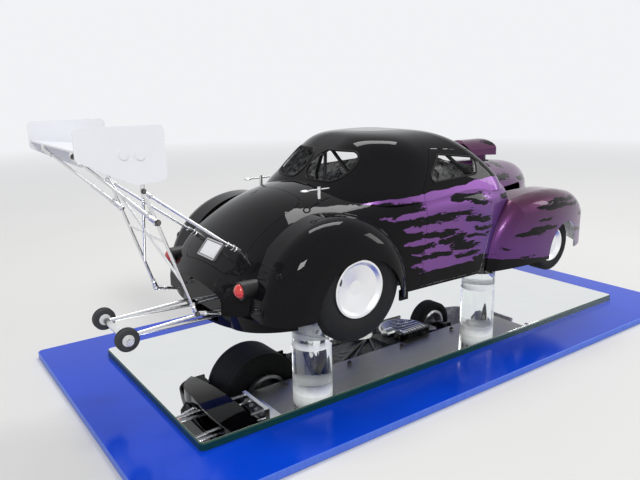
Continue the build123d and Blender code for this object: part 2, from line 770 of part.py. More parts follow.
# Front axle: beam with forked ends, held on two blocks on the pan
with BuildPart() as front_axle_beam:
    with Locations(Plane(origin=(front_axle_x, 0, front_axle_z), z_dir=(0, 1, 0)).location):
        Cylinder(beam_radius, 2 * (kingpin_y - 6))
    fork = boss_height / 2 + gap + ear_height
    for side in (-1, 1):
        with Locations((front_axle_x, (kingpin_y - 7.5) * side, front_axle_z)):
            Box(6, 5, 2 * fork)
        for ear_z in (front_axle_z - fork + ear_height / 2, front_axle_z + fork - ear_height / 2):
            with Locations((front_axle_x, (kingpin_y - 4) * side, ear_z)):
                Box(6, 8, ear_height)
            with Locations((front_axle_x, kingpin_y * side, ear_z)):
                Cylinder(3.4, ear_height)
        with Locations((front_axle_x, kingpin_y * side, front_axle_z)):
            Cylinder(kingpin_radius, 2 * fork)
        with Locations((front_axle_x, 30 * side, (pan_top + front_axle_z) / 2)):
            Box(8, 6, front_axle_z - pan_top)
keep(front_axle_beam.part, "front_axle_beam")

# Knuckles: boss on the kingpin, spindle for the wheel and arm for the tie rod
arm_top = front_axle_z + steering_arm_height / 2
pin_x = front_axle_x + steering_arm_length
with BuildPart() as knuckle_left:
    with Locations((front_axle_x, kingpin_y, front_axle_z)):
        Cylinder(boss_radius, boss_height)
    rod((front_axle_x, kingpin_y + 2, front_axle_z), (front_axle_x, 75.7, front_axle_z), 3.2)
    rod((front_axle_x, kingpin_y + 2, front_axle_z), (front_axle_x, 87, front_axle_z), spindle_radius)
    with Locations(((front_axle_x + pin_x) / 2 + 1, kingpin_y, front_axle_z)):
        Box(steering_arm_length - 2, 4, steering_arm_height)
    with Locations((pin_x, kingpin_y, front_axle_z)):
        Cylinder(3, steering_arm_height)
    rod((pin_x, kingpin_y, front_axle_z), (pin_x, kingpin_y, arm_top + gap + 3.5), tie_pin_radius)
    with Locations((front_axle_x, kingpin_y, front_axle_z)):
        Cylinder(kingpin_radius + running_clearance, 3 * boss_height, mode=Mode.SUBTRACT)
keep(knuckle_left.part, "knuckle_left")
keep(mirrored(knuckle_left.part), "knuckle_right")

rod_z = arm_top + gap + 1.5
with BuildPart() as tie_rod:
    rod((pin_x, -kingpin_y, rod_z), (pin_x, kingpin_y, rod_z), tie_rod_radius)
    with Locations((pin_x, -kingpin_y, rod_z), (pin_x, kingpin_y, rod_z)):
        Cylinder(3, 3)
        Cylinder(tie_pin_radius + running_clearance, 6, mode=Mode.SUBTRACT)
keep(tie_rod.part, "tie_rod")

spindle_bore = spindle_radius + running_clearance
# Front rim section: depth in from the outer face, radius
front_rim_points = from_outer_face(front_wheel_outer, (
    (0.5, front_rim_radius), (2, front_rim_radius), (2, front_seat_radius),
    (16, front_seat_radius), (16, front_rim_radius), (17.5, front_rim_radius),
    (17.5, 14.8), (5.5, 14.8), (7, 6), (16, 6), (16, spindle_bore), (4.5, spindle_bore), (4.5, 0),
    (2, 0), (2, 4), (3.4, 13), (0.5, 16.4),
))
front_rim_left = turned(front_axle_x, front_axle_z, front_rim_points)
keep(front_rim_left, "front_rim_left")
keep(mirrored(front_rim_left), "front_rim_right")
front_tyre_left = tyre(
    front_axle_x, front_axle_z, front_wheel_outer - front_tyre_width, front_wheel_outer,
    front_seat_radius, front_tyre_radius, front_rim_radius, 2.0,
)
keep(front_tyre_left, "front_tyre_left")
keep(mirrored(front_tyre_left), "front_tyre_right")

# Wing: a thin blade between two end plates with cut-back lower corners
blade_points = ((-303, 210.3), (-303, 209.1), (-250, 203.0), (-246, 203.2), (-250, 204.2))
with BuildPart() as wing_blade:
    extrude(polygon(Plane.XZ.offset(-wing_half_width), blade_points), amount=2 * wing_half_width)
keep(wing_blade.part, "wing_blade")

plate_outline = ((-304, 224.5), (-244.4, 224.5), (-244.4, 187), (-267, 185.5), (-304, 204))
with BuildPart() as end_plate_left:
    with BuildSketch(Plane.XZ.offset(-wing_half_width)) as outline:
        with BuildLine():
            Polyline(*plate_outline, close=True)
        make_face()
        fillet(outline.vertices(), 4)
    extrude(outline.sketch, amount=-sheet)
    bolt_y = wing_half_width + sheet
    rod((-273.3, bolt_y - 0.2, 206), (-273.3, bolt_y + 1, 206), 3)
    rod((-262.4, bolt_y - 0.2, 205), (-262.4, bolt_y + 1, 205), 3)
keep(end_plate_left.part, "end_plate_left")
keep(mirrored(end_plate_left.part), "end_plate_right")

# Strut frame: uprights from the tail to the wing, crossed bars, adjusters and deck braces
top_end = (-253, 38, 177)
low_end = (-220, 41, 78)
rear_hook = (-299, 40, 205)


def along(start, end, share):
    """The point that lies the given share of the way from start to end."""
    return tuple(a + (b - a) * share for a, b in zip(start, end))


def flipped(point):
    """The same point on the other side of the car."""
    return (point[0], -point[1], point[2])


eye = along(top_end, low_end, 0.24)
cross = along(top_end, low_end, 0.4)
knee = along(top_end, low_end, 0.74)
with BuildPart() as strut_frame:
    for turn in (lambda p: p, flipped):
        top, low, hook = turn(top_end), turn(low_end), turn(rear_hook)
        middle, knot = turn(eye), turn(knee)
        rod(low, top, tube_radius)
        ball(top, 2.2)
        ball(low, 2.4)
        rod(top, (top[0], top[1], 204), 1.5)
        rod(middle, hook, tube_radius - 0.2)
        rod(middle, along(middle, hook, 0.4), tube_radius + 0.5)
        ball(middle, 3)
        rod(hook, (hook[0], hook[1], 210), 1.6)
        ball(hook, 1.8)
        rod(low, (-193.5, low[1], 72), tube_radius)
        deck_foot = turn((-176, 37, 118))
        rod(top, deck_foot, tube_radius)
        rod(along(top, deck_foot, 0.84), deck_foot, tube_radius + 0.7)
        rod(deck_foot, (deck_foot[0] + 3, deck_foot[1], 112), 1.8)
        ball(deck_foot, 2.4)
    rod(top_end, flipped(knee), tube_radius - 0.2)
    rod(flipped(top_end), knee, tube_radius - 0.2)
    rod(cross, flipped(cross), tube_radius - 0.3)
    add(wing_blade.part, mode=Mode.SUBTRACT)
    add(body_outer, mode=Mode.SUBTRACT)
    add(rear_pan.part, mode=Mode.SUBTRACT)
with BuildPart() as struts:
    add(strut_frame.part.solids().sort_by(SortBy.VOLUME)[-1])
keep(struts.part, "strut_frame")

# Wheelie bar: two pairs of tubes from a bracket under the pan to the small wheels
with BuildPart() as wheelie_frame:
    for turn in (lambda p: p, flipped):
        for start, end in (upper_tube, lower_tube):
            rod(turn(start), turn(end), tube_radius)
    with Locations((-149, 0, (pan_bottom + 60) / 2)):
        Box(4, 44, pan_bottom - 60)
    with Locations((-141, 0, pan_bottom - 1)):
        Box(16, 44, 2)
    with Locations(Plane(origin=(wheelie_x, 0, wheelie_z), z_dir=(0, 1, 0)).location):
        Cylinder(2.6, 2 * (wheelie_half_track - 4.5))
        Cylinder(wheelie_axle_radius, 90, mode=Mode.SUBTRACT)
keep(wheelie_frame.part, "wheelie_frame")
nut_y = wheelie_half_track + 5.3
with BuildPart() as wheelie_axle:
    with Locations(Plane(origin=(wheelie_x, 0, wheelie_z), z_dir=(0, 1, 0)).location):
        Cylinder(wheelie_axle_radius, 2 * (nut_y + 3))
    for side in (-1, 1):
        nut_plane = Plane(origin=(wheelie_x, nut_y * side, wheelie_z), z_dir=(0, side, 0))
        with BuildSketch(nut_plane) as nut:
            RegularPolygon(2.8, 6)
        extrude(nut.sketch, amount=2.4)
keep(wheelie_axle.part, "wheelie_axle")
hub_inner, hub_outer = wheelie_half_track - 4, wheelie_half_track + 5
tyre_inner = wheelie_half_track - wheelie_tyre_width / 2
tyre_outer = wheelie_half_track + wheelie_tyre_width / 2
small_bore = wheelie_axle_radius + running_clearance
wheelie_hub_points = (
    (hub_inner, small_bore), (hub_inner, 3.4), (tyre_inner, 3.4), (tyre_inner, wheelie_hub_radius),
    (tyre_outer, wheelie_hub_radius), (tyre_outer, 3.8), (hub_outer, 3.4), (hub_outer, small_bore),
)
shoulder_r, groove_r = wheelie_tyre_radius - 1.2, wheelie_tyre_radius - 1.0
wheelie_tyre_points = (
    (tyre_inner, wheelie_hub_radius), (tyre_inner, shoulder_r), (tyre_inner + 1.2, wheelie_tyre_radius),
    (wheelie_half_track - 0.6, wheelie_tyre_radius), (wheelie_half_track - 0.6, groove_r),
    (wheelie_half_track + 0.6, groove_r), (wheelie_half_track + 0.6, wheelie_tyre_radius),
    (tyre_outer - 1.2, wheelie_tyre_radius), (tyre_outer, shoulder_r), (tyre_outer, wheelie_hub_radius),
)
wheelie_hub_left = turned(wheelie_x, wheelie_z, wheelie_hub_points)
keep(wheelie_hub_left, "wheelie_hub_left")
keep(mirrored(wheelie_hub_left), "wheelie_hub_right")
wheelie_tyre_left = turned(wheelie_x, wheelie_z, wheelie_tyre_points)
keep(wheelie_tyre_left, "wheelie_tyre_left")
keep(mirrored(wheelie_tyre_left), "wheelie_tyre_right")

# Small fittings: lamps, plate and body clips, each seated on the skin below it
with BuildPart() as tail_lamp_left:
    with Locations(Plane(origin=(-180, 67, 97.5), z_dir=(-1, 0, 0)).location):
        Cylinder(7.2, 15, align=(Align.CENTER, Align.CENTER, Align.MIN))
    with Locations((-193.8, 67, 97.5)):
        Sphere(5.8)
    add(rear_bulge, mode=Mode.SUBTRACT)
    add(body_outer, mode=Mode.SUBTRACT)
lamp_pieces = tail_lamp_left.part.solids().sort_by(SortBy.VOLUME)
with BuildPart() as tail_lamp_lens:
    add(lamp_pieces[-1])
keep(tail_lamp_lens.part, "tail_lamp_left")
keep(mirrored(tail_lamp_lens.part), "tail_lamp_right")

with BuildPart() as head_lamp:
    with Locations(Plane(origin=(222, 48, 108), z_dir=(1, 0, 0)).location):
        Cylinder(9.5, 20, align=(Align.CENTER, Align.CENTER, Align.MIN))
    fillet(head_lamp.faces().sort_by(Axis.X)[-1].edges(), 3)
    add(front_bulge, mode=Mode.SUBTRACT)
lamp_pieces = head_lamp.part.solids().sort_by(SortBy.VOLUME)
with BuildPart() as head_lamp_left:
    add(lamp_pieces[-1])
keep(head_lamp_left.part, "head_lamp_left")
keep(mirrored(head_lamp_left.part), "head_lamp_right")

plate_slope = Plane(origin=(-184.5, 0, 114.8), x_dir=(0, -1, 0), z_dir=(-0.765, 0, 0.644))
with BuildPart() as licence_plate:
    with BuildSketch(plate_slope) as blank:
        RectangleRounded(30, 16.5, 1.4)
    extrude(blank.sketch, amount=1.8)
    extrude(blank.sketch, amount=-5)
    with BuildSketch(plate_slope.offset(1.4)) as field:
        RectangleRounded(27.6, 14.1, 0.8)
    extrude(field.sketch, amount=2, mode=Mode.SUBTRACT)
    add(body_outer, mode=Mode.SUBTRACT)
keep(licence_plate.part, "licence_plate")

with BuildPart() as body_clip_left:
    rod((-106, 48, 150), (-106, 48, 166), 1.6)
    rod((-118, 48, 163.5), (-96, 48, 163.5), 0.7)
    with Locations((-120.5, 48, 163.5)):
        Torus(3, 0.7)
    add(body_outer, mode=Mode.SUBTRACT)
keep(body_clip_left.part, "body_clip_left")
keep(mirrored(body_clip_left.part), "body_clip_right")
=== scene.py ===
# %% [markdown]
# # A scale model drag coupe on a mirror base
# The object is a 1:10 model of a coupe with a rear wing and a wheelie bar. It stands on clear
# rods over a mirror, which lies on a blue plate. The shapes come from the CAD model, so this
# lesson is mostly about finishes: gloss paint with torn streaks, polished tube, spun wheels,
# crumpled foil, clear acrylic and a mirror. Small hardware that repeats is grown by rules.

# %% Load the frame
import math

import bpy
from mathutils import Matrix, Vector
from mathutils.bvhtree import BVHTree


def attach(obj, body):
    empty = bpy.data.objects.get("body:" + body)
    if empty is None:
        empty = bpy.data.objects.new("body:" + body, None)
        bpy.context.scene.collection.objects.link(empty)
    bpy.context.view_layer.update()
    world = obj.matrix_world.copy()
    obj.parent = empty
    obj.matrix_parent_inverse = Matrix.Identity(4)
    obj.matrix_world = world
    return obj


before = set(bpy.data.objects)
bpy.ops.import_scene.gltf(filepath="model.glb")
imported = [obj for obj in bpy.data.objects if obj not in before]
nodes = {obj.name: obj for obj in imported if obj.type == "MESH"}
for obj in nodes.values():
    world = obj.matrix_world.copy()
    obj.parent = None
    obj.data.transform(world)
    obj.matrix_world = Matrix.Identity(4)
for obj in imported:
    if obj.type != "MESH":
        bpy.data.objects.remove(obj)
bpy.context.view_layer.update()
mm = 0.001

# %% [markdown]
# ## The camera
# The picture is taken from behind the car's right side with a lens of about 35 mm. A camera can
# be placed by eye or solved from known corners. Here the mirror's four corners gave its place,
# and the cell only states it. The small roll is the tilt of the photographer's hand.

# %% Camera
camera_place = Vector((-0.4074, -0.4709, 0.247))
camera_yaw = math.radians(35.48)
camera_pitch = math.radians(13.74)
camera_roll = -0.01737
focal_pixels = 626.85
photo_width = 640
sensor_mm = 36.0
ahead = Vector((math.sin(camera_yaw) * math.cos(camera_pitch),
                math.cos(camera_yaw) * math.cos(camera_pitch), -math.sin(camera_pitch)))
level = Vector((math.cos(camera_yaw), -math.sin(camera_yaw), 0))
upright = level.cross(ahead)
across = math.cos(camera_roll) * level + math.sin(camera_roll) * upright
up = math.cos(camera_roll) * upright - math.sin(camera_roll) * level
lens = bpy.data.cameras.new("photo_camera")
lens.sensor_width = sensor_mm
lens.lens = focal_pixels * sensor_mm / photo_width
lens.clip_start = 0.01
lens.clip_end = 50.0
camera = bpy.data.objects.new("photo_camera", lens)
turn = Matrix((across, up, -ahead)).transposed().to_4x4()
camera.matrix_world = Matrix.Translation(camera_place) @ turn
bpy.context.scene.collection.objects.link(camera)
bpy.context.scene.camera = camera
bpy.context.scene.view_settings.view_transform = "Standard"
print("lens", round(lens.lens, 2), "mm")

# %% [markdown]
# ## Writing shader maths as Python
# A finish is a small sum of masks. Wiring Math nodes one by one hides the idea, so the class
# below wraps a socket: an expression on it adds the nodes, and 1 - mask works as well.


# %% A socket that can be added, multiplied and compared
class Field:
    def __init__(self, maker, socket):
        self.maker = maker
        self.socket = socket

    def maths(self, operation, *values):
        return self.maker.node("ShaderNodeMath", {"operation": operation}, *values)

    def __add__(self, other):
        return self.maths("ADD", self, other)

    def __sub__(self, other):
        return self.maths("SUBTRACT", self, other)

    def __rsub__(self, other):
        return self.maths("SUBTRACT", other, self)

    def __mul__(self, other):
        return self.maths("MULTIPLY", self, other)

    def __truediv__(self, other):
        return self.maths("DIVIDE", self, other)

    def __gt__(self, other):
        return self.maths("GREATER_THAN", self, other)

    def __lt__(self, other):
        return self.maths("LESS_THAN", self, other)

    def __abs__(self):
        return self.maths("ABSOLUTE", self)

    def root(self):
        return self.maths("SQRT", self)

    def sine(self):
        return self.maths("SINE", self)

    def either(self, other):
        return self.maths("MAXIMUM", self, other)

    def both(self, other):
        return self.maths("MINIMUM", self, other)


# %% [markdown]
# ## One way to add a node
# Every tree in this lesson, of a material, of the world or of a rule, is built by one method. It
# takes the node's type, its settings, and what goes into its sockets: a link or a constant.


# %% The node-making method
class Maker:
    def __init__(self, tree):
        self.tree = tree

    def plug(self, value, socket):
        """Links a field to the socket, or sets a constant on it."""
        if isinstance(value, Field):
            self.tree.links.new(value.socket, socket)
        else:
            socket.default_value = value

    def node(self, kind, settings, *values, out=0, **named):
        made = self.tree.nodes.new(kind)
        for key, value in settings.items():
            setattr(made, key, value)
        for index, value in enumerate(values):
            self.plug(value, made.inputs[index])
        for label, value in named.items():
            self.plug(value, made.inputs[label.replace("_", " ")])
        return Field(self, made.outputs[out])

    def blend(self, share, first, second):
        """Mixes two colours, whose sockets on this node are 6 and 7, and 2 for the result."""
        made = self.tree.nodes.new("ShaderNodeMix")
        made.data_type = "RGBA"
        for index, value in ((0, share), (6, first), (7, second)):
            self.plug(value, made.inputs[index])
        return Field(self, made.outputs[2])

    def seen_directly(self):
        """1 for rays from the camera, from a gloss and through clear plastic."""
        total = self.node("ShaderNodeLightPath", {}, out="Is Camera Ray")
        for ray in ("Is Glossy Ray", "Is Transmission Ray"):
            total = total.either(self.node("ShaderNodeLightPath", {}, out=ray))
        return total


def colour(red, green, blue):
    return (red, green, blue, 1.0)


# %% [markdown]
# ## One finish
# Every finish has a Principled shader. Constants are set on its own sockets, and only what
# changes over the surface is linked. The inside of a panel looks towards the car's middle, so
# the sign of normal times distance tells the painted side from the bare one.


# %% A finish
class Finish(Maker):
    def __init__(self, name, **constants):
        self.material = bpy.data.materials.new(name)
        self.material.use_nodes = True
        super().__init__(self.material.node_tree)
        self.shader = self.tree.nodes["Principled BSDF"]
        for socket, value in constants.items():
            self.shader.inputs[socket.replace("_", " ")].default_value = value
        place = self.tree.nodes.new("ShaderNodeTexCoord").outputs
        self.place, self.normal = Field(self, place["Object"]), Field(self, place["Normal"])
        split = self.node("ShaderNodeSeparateXYZ", {}, self.place).socket.node
        self.x, self.y, self.z = (Field(self, split.outputs[axis]) for axis in "XYZ")
        print("finish", name)

    def feed(self, socket, value):
        self.plug(value, self.shader.inputs[socket])

    def turn_into(self, share, second):
        """A second shader takes over where the share is 1."""
        mix = self.node("ShaderNodeMixShader", {}, share).socket.node
        self.tree.links.new(self.shader.outputs[0], mix.inputs[1])
        self.tree.links.new(second.socket, mix.inputs[2])
        self.tree.links.new(mix.outputs[0], self.tree.nodes["Material Output"].inputs["Surface"])

    def vectors(self, operation, *values, out=0):
        return self.node("ShaderNodeVectorMath", {"operation": operation}, *values, out=out)

    def noise(self, scale, detail=2.0, stretch=(1, 1, 1), roughness=0.5):
        place = self.vectors("MULTIPLY", self.place, stretch)
        return self.node("ShaderNodeTexNoise", {}, Vector=place, Scale=scale, Detail=detail,
                         Roughness=roughness)

    def shards(self, scale, shake):
        """Flat cells of random brightness, whose borders are bent by a noise."""
        bend = self.node("ShaderNodeTexNoise", {}, out="Color", Vector=self.place, Scale=scale)
        place = self.vectors("MULTIPLY_ADD", bend, (shake, shake, shake), self.place)
        tint = self.node("ShaderNodeTexVoronoi", {}, out="Color", Vector=place, Scale=scale)
        return self.node("ShaderNodeSeparateColor", {}, tint)

    def outward(self, x, z, aside=0.0):
        """1 where the surface looks away from a point at x and z, set aside to its own side."""
        own_side = (self.y > 0.0) * 2.0 - 1.0
        centre = self.node("ShaderNodeCombineXYZ", {}, x, own_side * aside, z)
        distance = self.vectors("SUBTRACT", self.place, centre)
        return self.vectors("DOT_PRODUCT", distance, self.normal, out=1) > 0.0

    def bump(self, height, strength, distance):
        self.feed("Normal", self.node("ShaderNodeBump", {}, Strength=strength,
                                      Distance=distance, Height=height))


# %% [markdown]
# ## Car paint
# The real body is black, with violet from the doors forward. Where the two meet, the violet
# runs back in torn streaks, and black streaks are torn out of it, as if the paint had been
# ripped off by the wind. A painted mask or an image would be the usual way. Here each streak is
# a long thin oval in the side view, and the place that it is measured at is first shaken by a
# noise that is stretched along the car, so that both edges tear.

# %% Streak tables, in millimetres: x and z of both ends, then half the height
violet_tips = (
    (-108, 157.2, -97, 156.6, 1.1), (-95, 156.5, -26, 152.5, 3.4), (-75, 141, -62, 139, 1.3),
    (-60, 140, -20, 139.5, 2.4), (-56, 129.5, -6, 125.5, 2.2), (-53, 117, -5, 113.5, 2.6),
    (-47, 106.5, -33, 105, 1.3), (-46, 96, 0, 92.5, 2.2), (-30, 89, -21, 89, 1.1),
)
black_tears = (
    (2, 149, 50, 147, 3.6), (24, 143.5, 54, 141, 2.0), (-34, 134, 14, 134, 4.4),
    (-4, 137.5, 30, 134.5, 2.6), (18, 130, 56, 124.5, 3.4), (30, 120, 57, 116, 2.2),
    (-42, 121.5, 10, 119.5, 3.2), (-14, 113, 22, 112.5, 3.6), (0, 107, 38, 103.5, 4.2),
    (-34, 103, 6, 100.5, 2.6), (22, 114, 50, 111, 1.8), (6, 97, 36, 96, 2.2),
    (-38, 112, -18, 110.5, 2.4), (30, 91, 54, 90, 2.6),
    (108, 129.5, 168, 126.5, 2.8), (124, 133.5, 186, 131, 2.2), (150, 127, 196, 124, 2.0),
    (78, 106, 122, 105, 2.4), (98, 109, 142, 107, 2.2), (60, 95.5, 74, 93.5, 1.3),
    (90, 84, 106, 82.5, 1.3), (96, 152, 150, 151, 3.0), (160, 147, 205, 143, 3.0),
    (72, 144, 92, 142.5, 2.2), (140, 185, 162, 182, 2.0), (200, 110, 236, 104, 2.6),
    (112, 117, 134, 116, 1.2), (146, 160, 158, 168, 5.0), (176, 96, 214, 92, 2.2),
)


def streaks(table, x, z, ragged):
    """The union of the torn ovals of a table, as a mask of 0 and 1."""
    union = None
    for row in table:
        x1, z1, x2, z2, half = (value * mm for value in row)
        middle_x, middle_z = (x1 + x2) / 2, (z1 + z2) / 2
        slope = (z2 - z1) / (x2 - x1)
        along = (x - middle_x) / ((x2 - x1) / 2)
        off = (z - middle_z - (x - middle_x) * slope) / half
        inside = (along * along * along * along + off * off + ragged) < 1.0
        union = inside if union is None else union.either(inside)
    return union


print("paint with", len(violet_tips), "tips and", len(black_tears), "tears")

# %% [markdown]
# ## Where the violet ends
# Ahead of a line through the doors all is violet, and the streaks are added and taken away
# there. On the cab it stops at the belt line under the windows, and it runs out below at a sill
# that falls towards the front. All limits but the cowl's are measured at the shaken place, so
# they are a little torn too.

# %% The violet's limits, in metres
violet_from = -0.031
cowl_from, cowl_top = 0.074, 0.1635
belt_height, belt_rise = 0.158, 0.06
sill_height, sill_from, sill_fall = 0.0885, 0.04, 0.12


def torn_violet(paint, belt_limit):
    """1 where the paint is violet and 0 where it is black."""
    tear = paint.noise(520.0, 4.0, (0.22, 0.4, 1.0), 0.72) - 0.5
    sway = paint.noise(150.0, 2.0, (0.35, 0.4, 1.0)) - 0.5
    x = paint.x + tear * 0.038 + sway * 0.012
    z = paint.z + sway * 0.0055
    ragged = tear * 4.2
    violet = (x > violet_from).either(streaks(violet_tips, x, z, ragged))
    if belt_limit:
        cowl = (paint.x > cowl_from).both(paint.z < cowl_top)
        belt = (z - paint.x * belt_rise) < belt_height
        violet = violet.both(cowl.either(belt))
    sill = (paint.x - sill_from).either(0.0) * -sill_fall + sill_height
    return violet.both(z > sill).both(1 - streaks(black_tears, x, z, ragged))


# %% [markdown]
# ## Crumpled foil
# The cab, the front fenders and the cabin's tray are lined with crumpled foil. Each facet of
# real foil mirrors another part of the room, so neighbours differ in brightness. A bump alone
# shows that only under many lamps, and few reach the inside. So these reflections are painted:
# the facets are cells of random grey in two sizes, and a noise bends their borders.


# %% Foil facets with painted reflections
def painted_foil_reflections(finish, coarse, shake, fine, darkest):
    """Facet greys as painted reflections. Coarse and fine are the two scales of the cells."""
    facets = finish.shards(coarse, shake) * 0.6 + finish.shards(fine, 0.003) * 0.4
    return finish.blend(facets * 1.5 - 0.2, colour(darkest, darkest, darkest),
                        colour(0.98, 0.98, 0.97))


# %% [markdown]
# ## From the mask to the paint
# The violet is a metallic. Low at the front of the door it turns darker and bluer, partly its
# own tone and partly painted shade. Low on the front fenders it is paler and bluer, partly its
# own tone and partly a painted highlight, and it is plum high on the fenders and the hood. Black
# lacquer reflects only in its clear coat, so the base under it has no gloss of its own. The
# inside could be a second material, but a mask keeps one finish a piece. A fender is a tunnel on
# one side of the car, so its inside is told from a point in that tunnel. The hood isn't lined and
# is dull inside.


# %% The paint itself
def car_paint(name, pale, deep, depth_of, middle, lining=None, belt_limit=False):
    """Paint between two violets. Lining is the foil's darkest painted reflection, if any."""
    paint = Finish(name, Specular_IOR_Level=0.0, Coat_IOR=1.2, Coat_Roughness=0.02)
    outside = paint.outward(*middle)
    violet = torn_violet(paint, belt_limit).both(outside)
    flake = paint.noise(2600.0, 1.0) - 0.5
    cloud = paint.noise(11.0, 2.0)
    tone = paint.blend(depth_of(paint), colour(*pale), colour(*deep))
    tone = paint.blend(cloud * 0.4, tone, colour(*(channel * 0.5 for channel in deep)))
    tone = paint.blend(flake.both(0.3) * 0.5 + 0.1, tone, colour(*pale))
    lacquer = paint.blend(paint.noise(420.0, 4.0), colour(0.003, 0.003, 0.004),
                          colour(0.007, 0.006, 0.007))
    if lining:
        # A lined inside is foil whose facet greys are painted reflections.
        bare = painted_foil_reflections(paint, 170.0, 0.006, 430.0, lining)
        inside_metal, inside_rough, inside_creases = 0.3, 0.18, 60.0
    else:
        bare = colour(0.012, 0.012, 0.013)
        inside_metal, inside_rough, inside_creases = 0.0, 0.6, 0.6
    paint.feed("Base Color", paint.blend(outside, bare, paint.blend(violet, lacquer, tone)))
    paint.feed("Metallic", (violet * 0.5).either((1 - outside) * inside_metal))
    paint.feed("Roughness", outside * (0.33 - inside_rough) + inside_rough)
    paint.feed("Coat Weight", outside)
    peel = flake * 0.2 + paint.noise(30.0, 1.0) * 0.6
    crumple = paint.noise(200.0, 3.0) * inside_creases
    paint.bump(outside * peel + (1 - outside) * crumple, 0.07, 0.0006)
    return paint.material


# %% [markdown]
# ## The three painted groups
# Sides, fenders and hood differ in their two violets, in the point that tells outside from
# inside, and in where the violet deepens. Three short functions say how deep it is: 0 at the
# height or length that each one names, and rising from there.


# %% Sides, fenders and hood
# The paint's own tone and painted shade: darker and bluer low at the front of the door.
def tone_and_shade_low_in_front(paint):
    return ((paint.x - 0.012) * 14.0).both((0.150 - paint.z) * 17.0)


# The paint's own tone and a painted highlight: paler and bluer low on the fender, plum high up.
def tone_and_highlight_low_on_fender(paint):
    return (paint.z - 0.092) * 22.0


def up_the_hood(paint):
    return (paint.z - 0.135) * 20.0


side_paint = car_paint("side_paint", (0.215, 0.082, 0.285), (0.080, 0.047, 0.245), tone_and_shade_low_in_front,
                       middle=(0.0, 0.115), lining=0.10, belt_limit=True)
fender_paint = car_paint("fender_paint", (0.130, 0.046, 0.205), (0.078, 0.020, 0.040),
                         tone_and_highlight_low_on_fender, middle=(0.150, 0.095, 0.085), lining=0.55)
hood_paint = car_paint("hood_paint", (0.150, 0.052, 0.190), (0.090, 0.024, 0.062), up_the_hood,
                       middle=(0.150, 0.105))

# %% [markdown]
# ## Plain gloss black
# The tail is black lacquer over a smooth shell. A dark colour alone would look like plastic, so
# the base reflects little, the clear coat reflects sharply, and a faint orange peel bends it.

# %% Gloss black
black_paint = Finish("black_paint", Roughness=0.3, Specular_IOR_Level=0.0, Coat_Weight=1.0,
                     Coat_IOR=1.2, Coat_Roughness=0.02)
dust = black_paint.noise(420.0, 4.0)
black_paint.feed("Base Color", black_paint.blend(dust, colour(0.003, 0.003, 0.004),
                                                 colour(0.008, 0.007, 0.008)))
black_paint.bump(black_paint.noise(30.0, 1.0), 0.05, 0.0007)

# %% [markdown]
# ## Metals
# The rims are spun, so fine rings run about the axle, and the shade in a valve slot near the
# edge is painted dark.
# Tube is polished with faint smears. The header pipes bow out from a flange in their own shade,
# so what is nearer the middle plane than the flange's outer face is dark. The pan is brushed
# along its length. Anisotropy could show the brushing, but a stretched noise in bump and
# roughness survives the export.


# %% Spun rims
ring_rate = 9000.0
slot_narrowness = 0.45


def spun(name, x, z, slot_x, slot_z, slot_half):
    """Rings about an axle at x and z. The slot, painted dark as shade, is placed from that axle."""
    metal = Finish(name)
    dx, dz = metal.x - x, metal.z - z
    radius = (dx * dx + dz * dz).root()
    rings = (radius * ring_rate).sine()
    smear = metal.noise(60.0, 3.0)
    across_slot = (dx - slot_x) / (slot_half * slot_narrowness)
    along_slot = (dz - slot_z) / slot_half
    # The valve slot is a hole, and its dark colour is painted shade.
    slot = (across_slot * across_slot + along_slot * along_slot) < 1.0
    face = metal.blend(smear, colour(0.84, 0.85, 0.86), colour(0.94, 0.94, 0.95))
    metal.feed("Base Color", metal.blend(slot, face, colour(0.015, 0.015, 0.015)))
    metal.feed("Metallic", 1.0 - slot)
    metal.feed("Roughness", smear * 0.16 + 0.22)
    metal.bump(rings * 0.4 + smear, 0.07, 0.0003)
    return metal.material


rear_spun = spun("rear_spun", -0.1075, 0.0903, -0.0170, 0.0085, 0.0034)
front_spun = spun("front_spun", 0.162, 0.082, -0.0105, 0.0050, 0.0018)


# %% Polished and brushed metal
def bright(name, low, high, rough, scale=90.0, flange=0.0):
    """Polished metal between two greys, with painted shade nearer the middle plane than the flange's
    face.
    """
    metal = Finish(name, Metallic=1.0)
    smear = metal.noise(scale, 4.0)
    polished = metal.blend(smear, colour(*low), colour(*high))
    # The flange lies in the pipes' shade, and that shade is painted dark.
    flange_shade = abs(metal.y) < flange
    metal.feed("Base Color", metal.blend(flange_shade, polished, colour(0.012, 0.012, 0.012)))
    metal.feed("Roughness", smear * 0.12 + rough)
    metal.bump(metal.noise(scale * 6, 2.0), 0.05, 0.0003)
    return metal.material


bright_tube = bright("bright_tube", (0.68, 0.68, 0.69), (0.88, 0.88, 0.88), 0.17)
header_metal = bright("header_metal", (0.62, 0.63, 0.64), (0.84, 0.85, 0.85), 0.16,
                      flange=0.0452)
dark_metal = bright("dark_metal", (0.06, 0.06, 0.065), (0.13, 0.13, 0.135), 0.35)
dark_bolt = bright("dark_bolt", (0.09, 0.085, 0.08), (0.20, 0.19, 0.18), 0.28, 400.0)

pan_metal = Finish("pan_metal", Metallic=1.0)
brushed = pan_metal.noise(900.0, 3.0, (0.03, 1.0, 1.0))
pan_metal.feed("Base Color", pan_metal.blend(brushed, colour(0.26, 0.255, 0.245),
                                             colour(0.42, 0.41, 0.39)))
pan_metal.feed("Roughness", brushed * 0.2 + 0.25)
pan_metal.bump(brushed, 0.08, 0.0003)

# %% [markdown]
# ## The cabin's tray
# The tray is covered in the same foil and is black underneath. The facets' painted reflections
# come from the helper above, and a plain noise gives them a bump.

